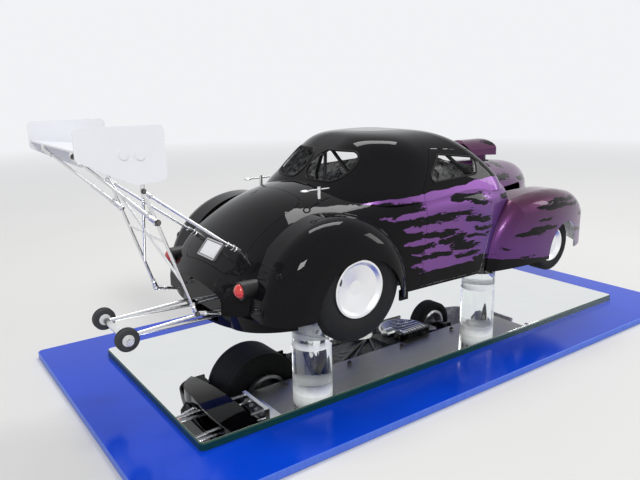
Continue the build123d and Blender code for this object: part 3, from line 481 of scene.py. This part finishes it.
# %% Foil
foil = Finish("foil", Roughness=0.24)
under = foil.outward(0.013, 0.115)
facet_painted_reflections = painted_foil_reflections(foil, 130.0, 0.007, 330.0, 0.12)
foil.feed("Base Color", foil.blend(under, facet_painted_reflections, colour(0.020, 0.020, 0.021)))
foil.feed("Metallic", (1 - under) * 0.3)
foil.bump(foil.noise(200.0, 4.0), 0.9, 0.003)

# %% [markdown]
# ## Rubber, sheet and plastic
# All of these are one colour that wanders a little, with a roughness that wanders along with it,
# so one helper makes them. The slicks are dull and dusty, the wing is coated white sheet, and
# the small wheels have white moulded hubs.


# %% One helper for wandering colours
def matt(name, dark, pale, scale, rough, rough_range, bump, coat=0.0, specular=0.5):
    """One noise of the scale wanders between the two colours and through the roughness."""
    finish = Finish(name, Coat_Weight=coat, Coat_Roughness=0.06, Specular_IOR_Level=specular)
    wander = finish.noise(scale, 4.0)
    finish.feed("Base Color", finish.blend(wander, colour(*dark), colour(*pale)))
    finish.feed("Roughness", wander * rough_range + rough)
    finish.bump(wander, bump, 0.0005)
    return finish.material


rubber = matt("rubber", (0.008, 0.008, 0.008), (0.024, 0.024, 0.024), 240.0, 0.62, 0.2, 0.15,
              0.0, 0.2)
small_rubber = matt("small_rubber", (0.030, 0.030, 0.031), (0.060, 0.060, 0.061), 240.0, 0.55,
                    0.2, 0.12, 0.0, 0.3)
white_sheet = matt("white_sheet", (0.80, 0.82, 0.86), (0.90, 0.90, 0.92), 22.0, 0.25, 0.15, 0.04,
                   0.3)
white_plastic = matt("white_plastic", (0.72, 0.72, 0.70), (0.86, 0.86, 0.84), 300.0, 0.35, 0.2,
                     0.08)
black_bar = matt("black_bar", (0.008, 0.008, 0.008), (0.022, 0.022, 0.022), 180.0, 0.3, 0.2,
                 0.04, 0.5)
# Black rubber for the window beads, also used for the painted shade between the header pipes.
gasket = matt("gasket", (0.004, 0.004, 0.004), (0.010, 0.010, 0.010), 500.0, 0.4, 0.15, 0.06,
              0.0, 0.15)
socket_steel = matt("socket_steel", (0.30, 0.30, 0.31), (0.46, 0.46, 0.47), 350.0, 0.3, 0.15,
                    0.05)

# %% [markdown]
# ## The number plate
# The plate is white in a bright frame with a dark line inside, and lies on the sloping tail. An
# image would be the usual way. Here frame and line are found by measuring along the slope: x
# and z distances weighted by the slope's direction.

# %% Number plate
plate_finish = Finish("plate_finish", Coat_Weight=0.4)
slope_x, slope_z = 0.644, 0.765
plate_x, plate_z = -0.1845, 0.1148
field_half_width, field_half_height, line_width = 0.0132, 0.0064, 0.0007
up_slope = (plate_finish.x - plate_x) * slope_x + (plate_finish.z - plate_z) * slope_z
past_field = (abs(plate_finish.y) - field_half_width).either(abs(up_slope) - field_half_height)
frame_area = past_field > 0.0
dark_line = frame_area.both(past_field < line_width)
press = plate_finish.noise(500.0, 3.0)
field_white = plate_finish.blend(press, colour(0.76, 0.77, 0.79), colour(0.88, 0.88, 0.89))
framed = plate_finish.blend(frame_area, field_white, colour(0.52, 0.50, 0.50))
plate_finish.feed("Base Color", plate_finish.blend(dark_line, framed, colour(0.02, 0.02, 0.02)))
plate_finish.feed("Metallic", (frame_area - dark_line) * 0.8)
plate_finish.feed("Roughness", press * 0.2 + 0.25)
plate_finish.bump(press, 0.1, 0.0003)


# %% [markdown]
# ## Lamps
# Each tail lamp is a red dome in a black ring, and each head lamp a clear lens in a chrome ring.
# The faces could be split between two materials. Here the distance from the lamp's axis tells
# lens from ring, and cells give the moulded facets.


# %% Lenses
def lens_finish(name, y, z, dark, pale, ring, ring_metal, radius):
    """A lens of the radius about an axis at y and z, on both sides, and the ring round it."""
    lamp = Finish(name, Coat_Roughness=0.02)
    dy, dz = abs(lamp.y) - y, lamp.z - z
    on_ring = (dy * dy + dz * dz) > radius * radius
    facets = lamp.node("ShaderNodeTexVoronoi", {}, Vector=lamp.place, Scale=900.0)
    glow = lamp.blend(facets, colour(*dark), colour(*pale))
    lamp.feed("Base Color", lamp.blend(on_ring, glow, colour(*ring)))
    lamp.feed("Metallic", on_ring * ring_metal)
    lamp.feed("Coat Weight", 1.0 - on_ring)
    lamp.feed("Roughness", facets * 0.15 + 0.1 + on_ring * (0.3 - ring_metal * 0.3))
    lamp.bump(facets * (1.0 - on_ring), 0.12, 0.0004)
    return lamp.material


tail_lens = lens_finish("tail_lens", 0.067, 0.0975, (0.55, 0.008, 0.006), (0.80, 0.03, 0.02),
                        (0.006, 0.006, 0.006), 0.0, 0.0057)
head_lens = lens_finish("head_lens", 0.048, 0.108, (0.55, 0.57, 0.60), (0.85, 0.86, 0.88),
                        (0.80, 0.80, 0.82), 1.0, 0.0072)

# %% [markdown]
# ## The display base
# The plate is deep blue acrylic whose sawn edge scatters light and looks paler. The mirror is
# silvered below, so the top reflects and the ground edge shows the glass's green. Glass over a
# silver sheet would be the real thing, but one reflecting top looks the same at this size. The
# heights that part top from edge are read from the frame.


# %% Plate and mirror
def top_of(name):
    return max(vertex.co.z for vertex in nodes[name].data.vertices)


plate_top, mirror_top = top_of("base_plate"), top_of("mirror_glass")
edge_below = 0.05 * mm
print("tops of plate and mirror", plate_top, mirror_top)

blue_acrylic = Finish("blue_acrylic", Specular_IOR_Level=0.2)
depth = blue_acrylic.noise(14.0, 3.0)
top_blue = blue_acrylic.blend(depth, colour(0.002, 0.042, 0.48), colour(0.003, 0.066, 0.68))
sawn = blue_acrylic.z < plate_top - edge_below
saw_lines = blue_acrylic.noise(500.0, 2.0, (1.0, 1.0, 0.1))
edge_blue = blue_acrylic.blend(saw_lines, colour(0.05, 0.13, 0.62), colour(0.11, 0.21, 0.76))
blue_acrylic.feed("Base Color", blue_acrylic.blend(sawn, top_blue, edge_blue))
blue_acrylic.feed("Roughness", depth * 0.1 + 0.08 + sawn * 0.2)
blue_acrylic.bump(saw_lines * sawn, 0.1, 0.0003)

mirror_finish = Finish("mirror_finish")
silvered = mirror_finish.z > mirror_top - edge_below
smudge = mirror_finish.noise(40.0, 4.0)
green = mirror_finish.blend(mirror_finish.noise(120.0, 2.0, (1.0, 1.0, 8.0)),
                            colour(0.003, 0.030, 0.018), colour(0.008, 0.075, 0.045))
silver = mirror_finish.blend(smudge, colour(0.80, 0.82, 0.81), colour(0.86, 0.87, 0.86))
mirror_finish.feed("Base Color", mirror_finish.blend(silvered, green, silver))
mirror_finish.feed("Metallic", silvered)
mirror_finish.feed("Roughness", smudge * 0.012 + (1 - silvered) * 0.15)

# %% [markdown]
# ## Clear pillars
# Each pillar is a clear rod with a short piece of rod on top and a fine groove between. The sawn
# ends stay frosted, at the foot and above the groove. Rougher clear plastic would still let the
# light through, so a second, white shader takes over there and fades out with the height.

# %% Pillars, in metres
rear_seat, front_seat = 0.0515, 0.0580
frost_height, foot_height = 0.0060, 0.0100
groove = 0.0006
rear_pillars_behind = -0.1
clear_acrylic = Finish("clear_acrylic", IOR=1.49, Roughness=0.015, Transmission_Weight=1.0)
clear_acrylic.feed("Base Color", clear_acrylic.blend(clear_acrylic.noise(35.0, 2.0),
                                                     colour(0.93, 0.97, 0.96),
                                                     colour(0.98, 0.99, 0.99)))
height_noise = clear_acrylic.noise(160.0, 3.0)
behind = clear_acrylic.x < rear_pillars_behind
seat = behind * rear_seat + (1 - behind) * front_seat
above_seat = (clear_acrylic.z - seat + groove) / frost_height
above_foot = (clear_acrylic.z - mirror_top) / foot_height
at_seat = (above_seat > 0.0) * (1 - above_seat).either(0.0)
at_foot = (1 - above_foot).either(0.0)
frost = (at_seat.either(at_foot) * (height_noise + 0.75)).root().both(0.92)
frosted_white = clear_acrylic.blend(height_noise, colour(0.80, 0.82, 0.80),
                                    colour(0.92, 0.93, 0.92))
frosted = clear_acrylic.node("ShaderNodeBsdfPrincipled", {}, frosted_white, Roughness=0.55)
clear_acrylic.turn_into(frost, frosted)

# %% [markdown]
# ## Dressing the frame
# Every node of the frame keeps its shape and gets the finish that the real piece has.

# %% Assign the finishes
dress = {
    side_paint: ("body_shell", "door_left", "door_right"),
    fender_paint: ("front_fender_left", "front_fender_right"),
    hood_paint: ("hood", "injector_scoop"),
    black_paint.material: ("deck_lid", "rear_fender_left", "rear_fender_right", "rear_pan"),
    rear_spun: ("rear_rim_left", "rear_rim_right"),
    front_spun: ("front_rim_left", "front_rim_right"),
    bright_tube: ("strut_frame", "wheelie_frame", "wheelie_axle", "body_clip_left",
                  "body_clip_right", "valve_cover_left", "valve_cover_right", "blower",
                  "rear_axle_shaft"),
    header_metal: ("header_left", "header_right"),
    dark_metal: ("engine_block", "roll_cage"),
    pan_metal.material: ("chassis_pan", "rear_axle_housing"),
    foil.material: ("interior_tin",),
    rubber: ("rear_tyre_left", "rear_tyre_right", "front_tyre_left", "front_tyre_right"),
    small_rubber: ("wheelie_tyre_left", "wheelie_tyre_right"),
    white_sheet: ("wing_blade", "end_plate_left", "end_plate_right"),
    white_plastic: ("wheelie_hub_left", "wheelie_hub_right"),
    plate_finish.material: ("licence_plate",),
    black_bar: ("outrigger_left", "outrigger_right", "front_axle_beam", "knuckle_left",
                "knuckle_right", "tie_rod"),
    tail_lens: ("tail_lamp_left", "tail_lamp_right"),
    head_lens: ("head_lamp_left", "head_lamp_right"),
    blue_acrylic.material: ("base_plate",),
    mirror_finish.material: ("mirror_glass",),
    clear_acrylic.material: ("pillar_front_left", "pillar_front_right", "pillar_rear_left",
                             "pillar_rear_right"),
}
dressed = set()
for material, names in dress.items():
    for name in names:
        mesh = nodes[name].data
        mesh.materials.clear()
        mesh.materials.append(material)
        dressed.add(name)
print("not dressed:", sorted(set(nodes) - dressed))

# %% [markdown]
# ## Rules that grow small hardware
# Bolts, screws and beads repeat, so they are grown by Geometry Nodes: a tree with named inputs
# is given a mesh of bare points or lines, and fills it. Copying one bolt by hand would work
# too, but then a new size means new copies. The class below holds what these trees share:
# joining solids, putting them on points, and the last nodes, which make the instances real and
# give them their finish.


# %% A tree with named inputs
class Rule(Maker):
    def __init__(self, name, **inputs):
        super().__init__(bpy.data.node_groups.new(name, "GeometryNodeTree"))
        face = self.tree.interface
        face.new_socket("Geometry", in_out="INPUT", socket_type="NodeSocketGeometry")
        for label, value in inputs.items():
            kind = "NodeSocketInt" if isinstance(value, int) else "NodeSocketFloat"
            made = face.new_socket(label, in_out="INPUT", socket_type=kind)
            made.default_value = value
        face.new_socket("Finish", in_out="INPUT", socket_type="NodeSocketMaterial")
        face.new_socket("Geometry", in_out="OUTPUT", socket_type="NodeSocketGeometry")
        given = self.tree.nodes.new("NodeGroupInput").outputs
        self.given = {label: Field(self, given[label]) for label in ("Geometry", "Finish", *inputs)}
        print("rule", name, "with", *inputs)

    def up(self, height):
        return self.node("ShaderNodeCombineXYZ", {}, Z=height)

    def joined(self, *pairs):
        """Solids, each moved by its shift, as one."""
        join = self.tree.nodes.new("GeometryNodeJoinGeometry")
        for solid, shift in pairs:
            moved = self.node("GeometryNodeTransform", {}, Geometry=solid, Translation=shift)
            self.tree.links.new(moved.socket, join.inputs[0])
        return Field(self, join.outputs[0])

    def on_points(self, solid):
        """Ends the tree with the solid on every point, turned and sized by its attributes."""
        axis = self.node("GeometryNodeInputNamedAttribute", {"data_type": "FLOAT_VECTOR"},
                         Name="axis")
        size = self.node("GeometryNodeInputNamedAttribute", {"data_type": "FLOAT"}, Name="size")
        facing = self.node("FunctionNodeAlignRotationToVector", {"axis": "Z"}, Vector=axis)
        self.close(self.node("GeometryNodeInstanceOnPoints", {}, Points=self.given["Geometry"],
                             Instance=solid, Rotation=facing, Scale=size))

    def close(self, geometry):
        real = self.node("GeometryNodeRealizeInstances", {}, Geometry=geometry)
        finished = self.node("GeometryNodeSetMaterial", {}, Geometry=real,
                             Material=self.given["Finish"])
        self.plug(finished, self.tree.nodes.new("NodeGroupOutput").inputs[0])


# %% [markdown]
# ## Growing a piece
# The rule could stay on the object as a modifier. Here its result is kept as a plain mesh, so
# that the piece is like those of the frame. It rides on the display body, which carries all
# that doesn't turn.


# %% Grow a piece and keep its plain mesh
def grow(name, source, rule, finish, slot, **values):
    holder = bpy.data.objects.new(name, source)
    bpy.context.scene.collection.objects.link(holder)
    modifier = holder.modifiers.new("rule", "NODES")
    modifier.node_group = rule.tree
    values["Finish"] = finish
    for item in rule.tree.interface.items_tree:
        if item.in_out == "INPUT" and item.name in values:
            modifier[item.identifier] = values[item.name]
    graph = bpy.context.evaluated_depsgraph_get()
    mesh = bpy.data.meshes.new_from_object(holder.evaluated_get(graph))
    holder.modifiers.clear()
    holder.data = mesh
    mesh.name = name
    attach(holder, "display")
    print(name, len(mesh.polygons), "faces")


# %% [markdown]
# ## Bolts
# A bolt head is a prism with a chamfer on a round washer. The tree makes one head of radius 1
# and puts it on every point, turned to that point's axis and scaled to its size, which are
# attributes of the points. Six sides give a hex head, and twenty a cap screw.

# %% The bolt rule
bolt = Rule("bolt_rule", Sides=6, Height=0.8, Chamfer=0.22, Washer=1.35, Thickness=0.22)
prism = bolt.node("GeometryNodeMeshCylinder", {}, Vertices=bolt.given["Sides"], Radius=1.0,
                  Depth=bolt.given["Height"])
cap = bolt.node("GeometryNodeMeshCone", {}, Vertices=bolt.given["Sides"], Radius_Top=0.78,
                Radius_Bottom=1.0, Depth=bolt.given["Chamfer"])
washer = bolt.node("GeometryNodeMeshCylinder", {}, Vertices=24, Radius=bolt.given["Washer"],
                   Depth=bolt.given["Thickness"])
height = bolt.given["Height"]
bolt.on_points(bolt.joined((prism, bolt.up(height * 0.5)), (cap, bolt.up(height)),
                           (washer, (0, 0, 0))))


def grow_pairs(name, rows, rule, finish, slot, **values):
    """Grows on both sides from rows of x, y, z, an axis and a radius, in millimetres."""
    rows = rows + [(x, -y, z, (axis[0], -axis[1], axis[2]), radius) for x, y, z, axis, radius in rows]
    mesh = bpy.data.meshes.new(name + "_points")
    mesh.from_pydata([Vector(row[:3]) * mm for row in rows], [], [])
    mesh.attributes.new("axis", "FLOAT_VECTOR", "POINT")
    mesh.attributes.new("size", "FLOAT", "POINT")
    axes = [number for row in rows for number in row[3]]
    mesh.attributes["axis"].data.foreach_set("vector", axes)
    mesh.attributes["size"].data.foreach_set("value", [row[4] * mm for row in rows])
    grow(name, mesh, rule, finish, slot, **values)


# %% [markdown]
# ## Where the bolts are
# The struts end in eyes that are pinned from outside, so each eye gets a dark bolt. The pan is
# screwed on from below, the bracket of the wheelie bar from behind, and the valve covers from
# above. A row is x, y and z, an axis and the head's radius, and is made on both sides.

# %% Bolts, in millimetres
outward_y = (0, 1, 0)
upward_z = (0, 0, 1)
downward_z = (0, 0, -1)
rearward_x = (-1, 0, 0)
eye_bolts = [(-253, 40.0, 177, outward_y, 1.5), (-245, 41.4, 153.2, outward_y, 1.8),
             (-220, 43.2, 78, outward_y, 1.6), (-299, 41.6, 205, outward_y, 1.3),
             (-176, 39.2, 118, outward_y, 1.6)]
bracket_bolts = [(-151, 15, 67, rearward_x, 1.6), (-151, 5, 67, rearward_x, 1.6)]
cover_bolts = [(x, 35, 129, upward_z, 0.9) for x in (101, 111.5, 122, 132.5, 143)]
pan_screws = [(x, 32, 72.7, downward_z, 2.1) for x in (-96, -12, 66, 150, 214)]
grow_pairs("pan_screws", pan_screws, bolt, dark_bolt, "black_bar", Sides=20, Height=0.8,
           Washer=1.25)
grow_pairs("strut_bolts", eye_bolts, bolt, dark_bolt, "bright_metal", Sides=6, Height=0.8)
grow_pairs("bracket_screws", bracket_bolts, bolt, socket_steel, "bright_metal", Sides=20,
           Height=0.9)
grow_pairs("cover_screws", cover_bolts, bolt, socket_steel, "bright_metal", Sides=6, Height=0.7)

# %% [markdown]
# ## Rod ends
# Each strut screws into a bright fork, locked by a thin nut, and the fork straddles the eye. A
# fork is a short barrel with a chamfered rim, so the tree joins two prisms and a nut on one
# axis. The nut is set further out than the rim, in lengths of the barrel.

# %% The rod end rule
rod_end = Rule("rod_end_rule", Barrel=3.0, Nut=0.65)
nut_place = 1.34
barrel_length = rod_end.given["Barrel"]
barrel = rod_end.node("GeometryNodeMeshCylinder", {}, Vertices=20, Radius=1.0,
                      Depth=barrel_length)
rim = rod_end.node("GeometryNodeMeshCone", {}, Vertices=20, Radius_Top=0.72, Radius_Bottom=1.0,
                   Depth=0.4)
lock_nut = rod_end.node("GeometryNodeMeshCylinder", {}, Vertices=6, Radius=1.12,
                        Depth=rod_end.given["Nut"])
rod_end.on_points(rod_end.joined((barrel, rod_end.up(barrel_length * 0.5)),
                                 (rim, rod_end.up(barrel_length)),
                                 (lock_nut, rod_end.up(barrel_length * nut_place))))

# %% Rod ends, in millimetres
wing_top, eye, hook = (-253, 38, 177), (-245, 38.7, 153.2), (-299, 40, 205)
tail_foot, pan_foot, pan_eye = (-176, 37, 118), (-220, 41, 78), (-193.5, 41, 72)
fork_rows = [(*start, tuple(b - a for a, b in zip(start, end)), radius)
             for start, end, radius in ((eye, hook, 2.3), (hook, eye, 1.9), (tail_foot, wing_top, 2.3),
                                        (wing_top, tail_foot, 1.8), (pan_foot, wing_top, 2.0),
                                        (pan_foot, pan_eye, 1.9))]
grow_pairs("rod_ends", fork_rows, rod_end, bright_tube, "bright_metal", Barrel=3.0)

# %% [markdown]
# ## Body buttons
# A glossy black button sits on each rear fender above the lamp. It could be turned on a lathe
# like a real one. A flattened ball on the skin, turned to the skin's slope, looks the same,
# because only its upper half shows.

# %% Buttons
button = Rule("button_rule", Flatness=0.55)
dome = button.node("GeometryNodeMeshUVSphere", {}, Segments=28, Rings=14, Radius=1.0)
flat = button.node("ShaderNodeCombineXYZ", {}, X=1.0, Y=1.0, Z=button.given["Flatness"])
pressed = button.node("GeometryNodeTransform", {}, Geometry=dome, Scale=flat)
button.on_points(button.node("GeometryNodeSetShadeSmooth", {}, Geometry=pressed))
button_rows = [(-174.6, 92.0, 110.0, (-0.8, 0.37, 0.48), 3.1)]
grow_pairs("fender_buttons", button_rows, button, black_paint.material, "gloss_black",
           Flatness=0.55)

# %% [markdown]
# ## Beads along lines
# A rubber bead runs round each window, and thin bars run down the nose. Both follow the skin, so
# their lines are found by casting rays at it, and a second tree sweeps a round bar along them.

# %% The bead rule
bead = Rule("bead_rule", Radius=0.0008, Resolution=8)
line = bead.node("GeometryNodeMeshToCurve", {}, Mesh=bead.given["Geometry"])
ring = bead.node("GeometryNodeCurvePrimitiveCircle", {}, Resolution=bead.given["Resolution"],
                 Radius=bead.given["Radius"])
swept = bead.node("GeometryNodeCurveToMesh", {}, Curve=line, Profile_Curve=ring, Fill_Caps=True)
bead.close(bead.node("GeometryNodeSetShadeSmooth", {}, Geometry=swept))

# %% [markdown]
# ## Lines on the skin
# A line could be drawn on the curved skin by hand. Here it is drawn flat, as it looks from the
# side or from behind, and rays carry it onto the skin, so it fits however the skin curves.


# %% Lines that lie on the skin
def skin_of(name):
    """A target for rays from a node's mesh."""
    mesh = nodes[name].data
    return BVHTree.FromPolygons([vertex.co.copy() for vertex in mesh.vertices],
                                [list(face.vertices) for face in mesh.polygons])


def rounded(corners, radius, steps=6):
    """A closed outline whose corners are arcs."""
    outline = []
    for index, place in enumerate(corners):
        corner = Vector(place)
        back = (Vector(corners[index - 1]) - corner).normalized()
        on = (Vector(corners[(index + 1) % len(corners)]) - corner).normalized()
        half = back.angle(on) / 2
        centre = corner + (back + on).normalized() * radius / math.sin(half)
        first = corner + back * radius / math.tan(half) - centre
        last = corner + on * radius / math.tan(half) - centre
        for step in range(steps + 1):
            outline.append(centre + first.lerp(last, step / steps).normalized() * radius)
    return outline


def spaced(outline, spacing):
    """The closed outline with points added so that none are further apart than the spacing."""
    points = []
    for start, end in zip(outline, outline[1:] + outline[:1]):
        pieces = max(1, math.ceil((end - start).length / spacing))
        points += [start.lerp(end, step / pieces) for step in range(pieces)]
    return points


def grown_by(outline, margin):
    """The outline with its points moved away from its middle."""
    middle = sum(outline, Vector((0, 0))) / len(outline)
    return [point + (point - middle).normalized() * margin for point in outline]


class Lines:
    """Lines collected in one mesh of points and edges."""

    def __init__(self):
        self.places, self.edges, self.missed = [], [], 0

    def add(self, places, closed=False):
        first = len(self.places)
        self.places += places
        last = len(self.places) - 1
        self.edges += [(index, index + 1) for index in range(first, last)]
        if closed:
            self.edges.append((last, first))

    def cast(self, skin, starts, direction, closed=False):
        hits = [skin.ray_cast(Vector(start), Vector(direction))[0] for start in starts]
        found = [hit for hit in hits if hit is not None]
        self.missed += len(hits) - len(found)
        self.add(found, closed)

    def sweep(self, name, finish, slot, radius):
        mesh = bpy.data.meshes.new(name + "_lines")
        mesh.from_pydata(self.places, self.edges, [])
        print(name, "on", len(self.places), "points,", self.missed, "rays missed")
        grow(name, mesh, bead, finish, slot, Radius=radius)


# %% [markdown]
# ## Window beads
# The outlines repeat the openings of the body in the views where they were cut: the side windows
# from the side, the two rear windows from behind, and the split windscreen from in front. They
# are a little larger than the openings, so that the rays meet the skin beside them.

# %% Window beads
side_corners = ((-0.020, 0.164), (0.044, 0.167), (0.048, 0.181), (0.006, 0.186))
side_radius = 0.004
bead_radius, bead_margin, bead_spacing = 0.0009, 0.0009, 0.003
far_off = 0.3
window_lines = Lines()
side_outline = spaced(grown_by(rounded(side_corners, side_radius), bead_margin), bead_spacing)
for side, door in ((-1, "door_right"), (1, "door_left")):
    starts = [(x, far_off * side, z) for x, z in side_outline]
    window_lines.cast(skin_of(door), starts, (0, -side, 0), closed=True)
shell_skin = skin_of("body_shell")
# An opening seen along the car: inner and outer y, low and high z, radius, and the eye's x
openings = ((0.003, 0.050, 0.168, 0.191, 0.0113, -far_off),
            (0.0015, 0.060, 0.1685, 0.1895, 0.007, far_off))
for inner, outer, low, high, radius, eye_x in openings:
    for side in (-1, 1):
        corners = ((inner * side, low), (outer * side, low), (outer * side, high),
                   (inner * side, high))
        outline = spaced(grown_by(rounded(corners, radius), bead_margin), bead_spacing)
        starts = [(eye_x, y, z) for y, z in outline]
        window_lines.cast(shell_skin, starts, (-1 if eye_x > 0 else 1, 0, 0), closed=True)
window_lines.sweep("window_beads", gasket, "black_bar", bead_radius)

# %% [markdown]
# ## Grille bars
# A coupe of this shape has upright bars on both sides of its pointed nose. The photograph doesn't
# show the front, so they are the plain bars that such a nose has, laid on the hood's skin.

# %% Grille bars
first_bar, bar_pitch, bar_count = 0.193, 0.004, 6
bar_low, bar_high, bar_radius, bar_steps = 0.088, 0.132, 0.0007, 10
beside_nose = 0.06
grille_lines = Lines()
hood_skin = skin_of("hood")
for side in (-1, 1):
    for number in range(bar_count):
        x = first_bar + bar_pitch * number
        heights = [bar_low + (bar_high - bar_low) * step / bar_steps for step in range(bar_steps + 1)]
        starts = [(x, beside_nose * side, z) for z in heights]
        grille_lines.cast(hood_skin, starts, (0, -side, 0))
grille_lines.sweep("grille_bars", bright_tube, "bright_metal", bar_radius)

# %% [markdown]
# ## Painted shade between the header pipes
# Eight pipes leave each side of the engine and bow outwards until they gather. Between two
# pipes the light doesn't get in, so a thin dark line of painted shade is swept along each
# valley, above and below. The pipes are arcs through three points, and so is the line between
# them.


# %% Painted shade between the header pipes
def arc_through(start, middle, end, steps):
    """Points on the circle through three points of the plane."""
    first, second = middle - start, end - start
    twice = 2 * first.cross(second)
    along, across_arc = first.dot(first), second.dot(second)
    centre = start + Vector((second.y * along - first.y * across_arc,
                             first.x * across_arc - second.x * along)) / twice
    spokes = [point - centre for point in (start, middle, end)]
    sweep = -sum(spoke.angle_signed(following) for spoke, following in zip(spokes, spokes[1:]))
    return [centre + Matrix.Rotation(sweep * step / steps, 2) @ spokes[0]
            for step in range(steps + 1)]


# In millimetres: where a valley leaves the engine, bows out and ends, and the step a pipe
header_z, valley_depth, shade_line_radius = 68.0, 1.5, 0.55
pipe_count, valley_steps = 8, 24
root_x, root_y, root_step = 80, 39, 5.2
bow_x, bow_y, bow_step = 80, 62, 3.4
end_x, end_y, end_step = 66, 57, 0.9
valley_shade_lines = Lines()
for side in (-1, 1):
    for pipe in range(pipe_count - 1):
        past = pipe + 0.5
        root = Vector((root_x + root_step * past, root_y))
        bow = Vector((bow_x + bow_step * past, bow_y + bow_step * past))
        end = Vector((end_x, end_y + end_step * past))
        valley = arc_through(root, bow, end, valley_steps)
        for z in (header_z - valley_depth, header_z + valley_depth):
            valley_shade_lines.add([Vector((point.x, point.y * side, z)) * mm for point in valley])
# The dark lines in the valleys are painted shade, in the rubber's black.
valley_shade_lines.sweep("header_gaps", gasket, "black_bar", shade_line_radius * mm)

# %% [markdown]
# ## Floor
# A plain pale floor runs to the horizon. A curved backdrop could hide where it ends. Here its
# colour turns into that of the world far from the object, but only for rays that are seen, so
# the far floor adds no light.

# %% Floor
pale_world = (0.88, 0.89, 0.91)
floor_finish = Finish("floor_finish", Roughness=0.75)
floor_finish.feed("Base Color", floor_finish.blend(floor_finish.noise(3.0, 2.0),
                                                   colour(0.74, 0.73, 0.71),
                                                   colour(0.78, 0.77, 0.75)))
far_start, far_range = 0.7, 1.8
reach = (floor_finish.x * floor_finish.x + floor_finish.y * floor_finish.y).root()
far = ((reach - far_start) / far_range).either(0.0).both(1.0) * floor_finish.seen_directly()
glow = floor_finish.node("ShaderNodeEmission", {}, Color=colour(*pale_world), Strength=1.0)
floor_finish.turn_into(far, glow)
floor_mesh = bpy.data.meshes.new("floor")
floor_half, floor_z = 6.0, -0.0004
floor_corners = [(floor_half * x, floor_half * y, floor_z)
                 for x, y in ((-1, -1), (1, -1), (1, 1), (-1, 1))]
floor_mesh.from_pydata(floor_corners, [], [(0, 1, 2, 3)])
floor_mesh.materials.append(floor_finish.material)
floor = bpy.data.objects.new("floor", floor_mesh)
bpy.context.scene.collection.objects.link(floor)
print("floor", 2 * floor_half, "m wide")

# %% [markdown]
# ## Soft lamps
# Gloss black shows only what it mirrors. Small lamps would leave dots on it, so these are large
# soft boxes, which draw broad highlights: a key above the right rear, one overhead, and a low
# one at the right front.

# %% Lamps
car_middle = Vector((0, 0, 0.1))


def softbox(name, place, size, power):
    lamp = bpy.data.lights.new(name, "AREA")
    lamp.shape = "RECTANGLE"
    lamp.size, lamp.size_y = size
    lamp.energy = power
    holder = bpy.data.objects.new(name, lamp)
    aim = (car_middle - Vector(place)).to_track_quat("-Z", "Y")
    holder.matrix_world = Matrix.Translation(place) @ aim.to_matrix().to_4x4()
    bpy.context.scene.collection.objects.link(holder)
    print("lamp", name, power, "W")


softbox("key", (-1.1, -1.5, 1.6), (0.5, 0.35), 20.0)
softbox("over", (0.4, 0.6, 1.9), (1.2, 0.4), 18.0)
softbox("side", (1.6, -1.0, 0.8), (0.4, 0.7), 7.0)

# %% [markdown]
# ## The world
# The world is the pale backdrop and also fills the shade. One grey can't do both well, so rays
# that are seen find it pale, and rays that light the object find it dimmer.

# %% World
world = bpy.data.worlds.new("studio")
world.use_nodes = True
sky = Maker(world.node_tree)
lighting_grey = colour(0.42, 0.43, 0.45)
seen_colour = sky.blend(sky.seen_directly(), lighting_grey, colour(*pale_world))
background = world.node_tree.nodes["Background"]
sky.plug(seen_colour, background.inputs["Color"])
background.inputs["Strength"].default_value = 1.0
bpy.context.scene.world = world
print("world ready")
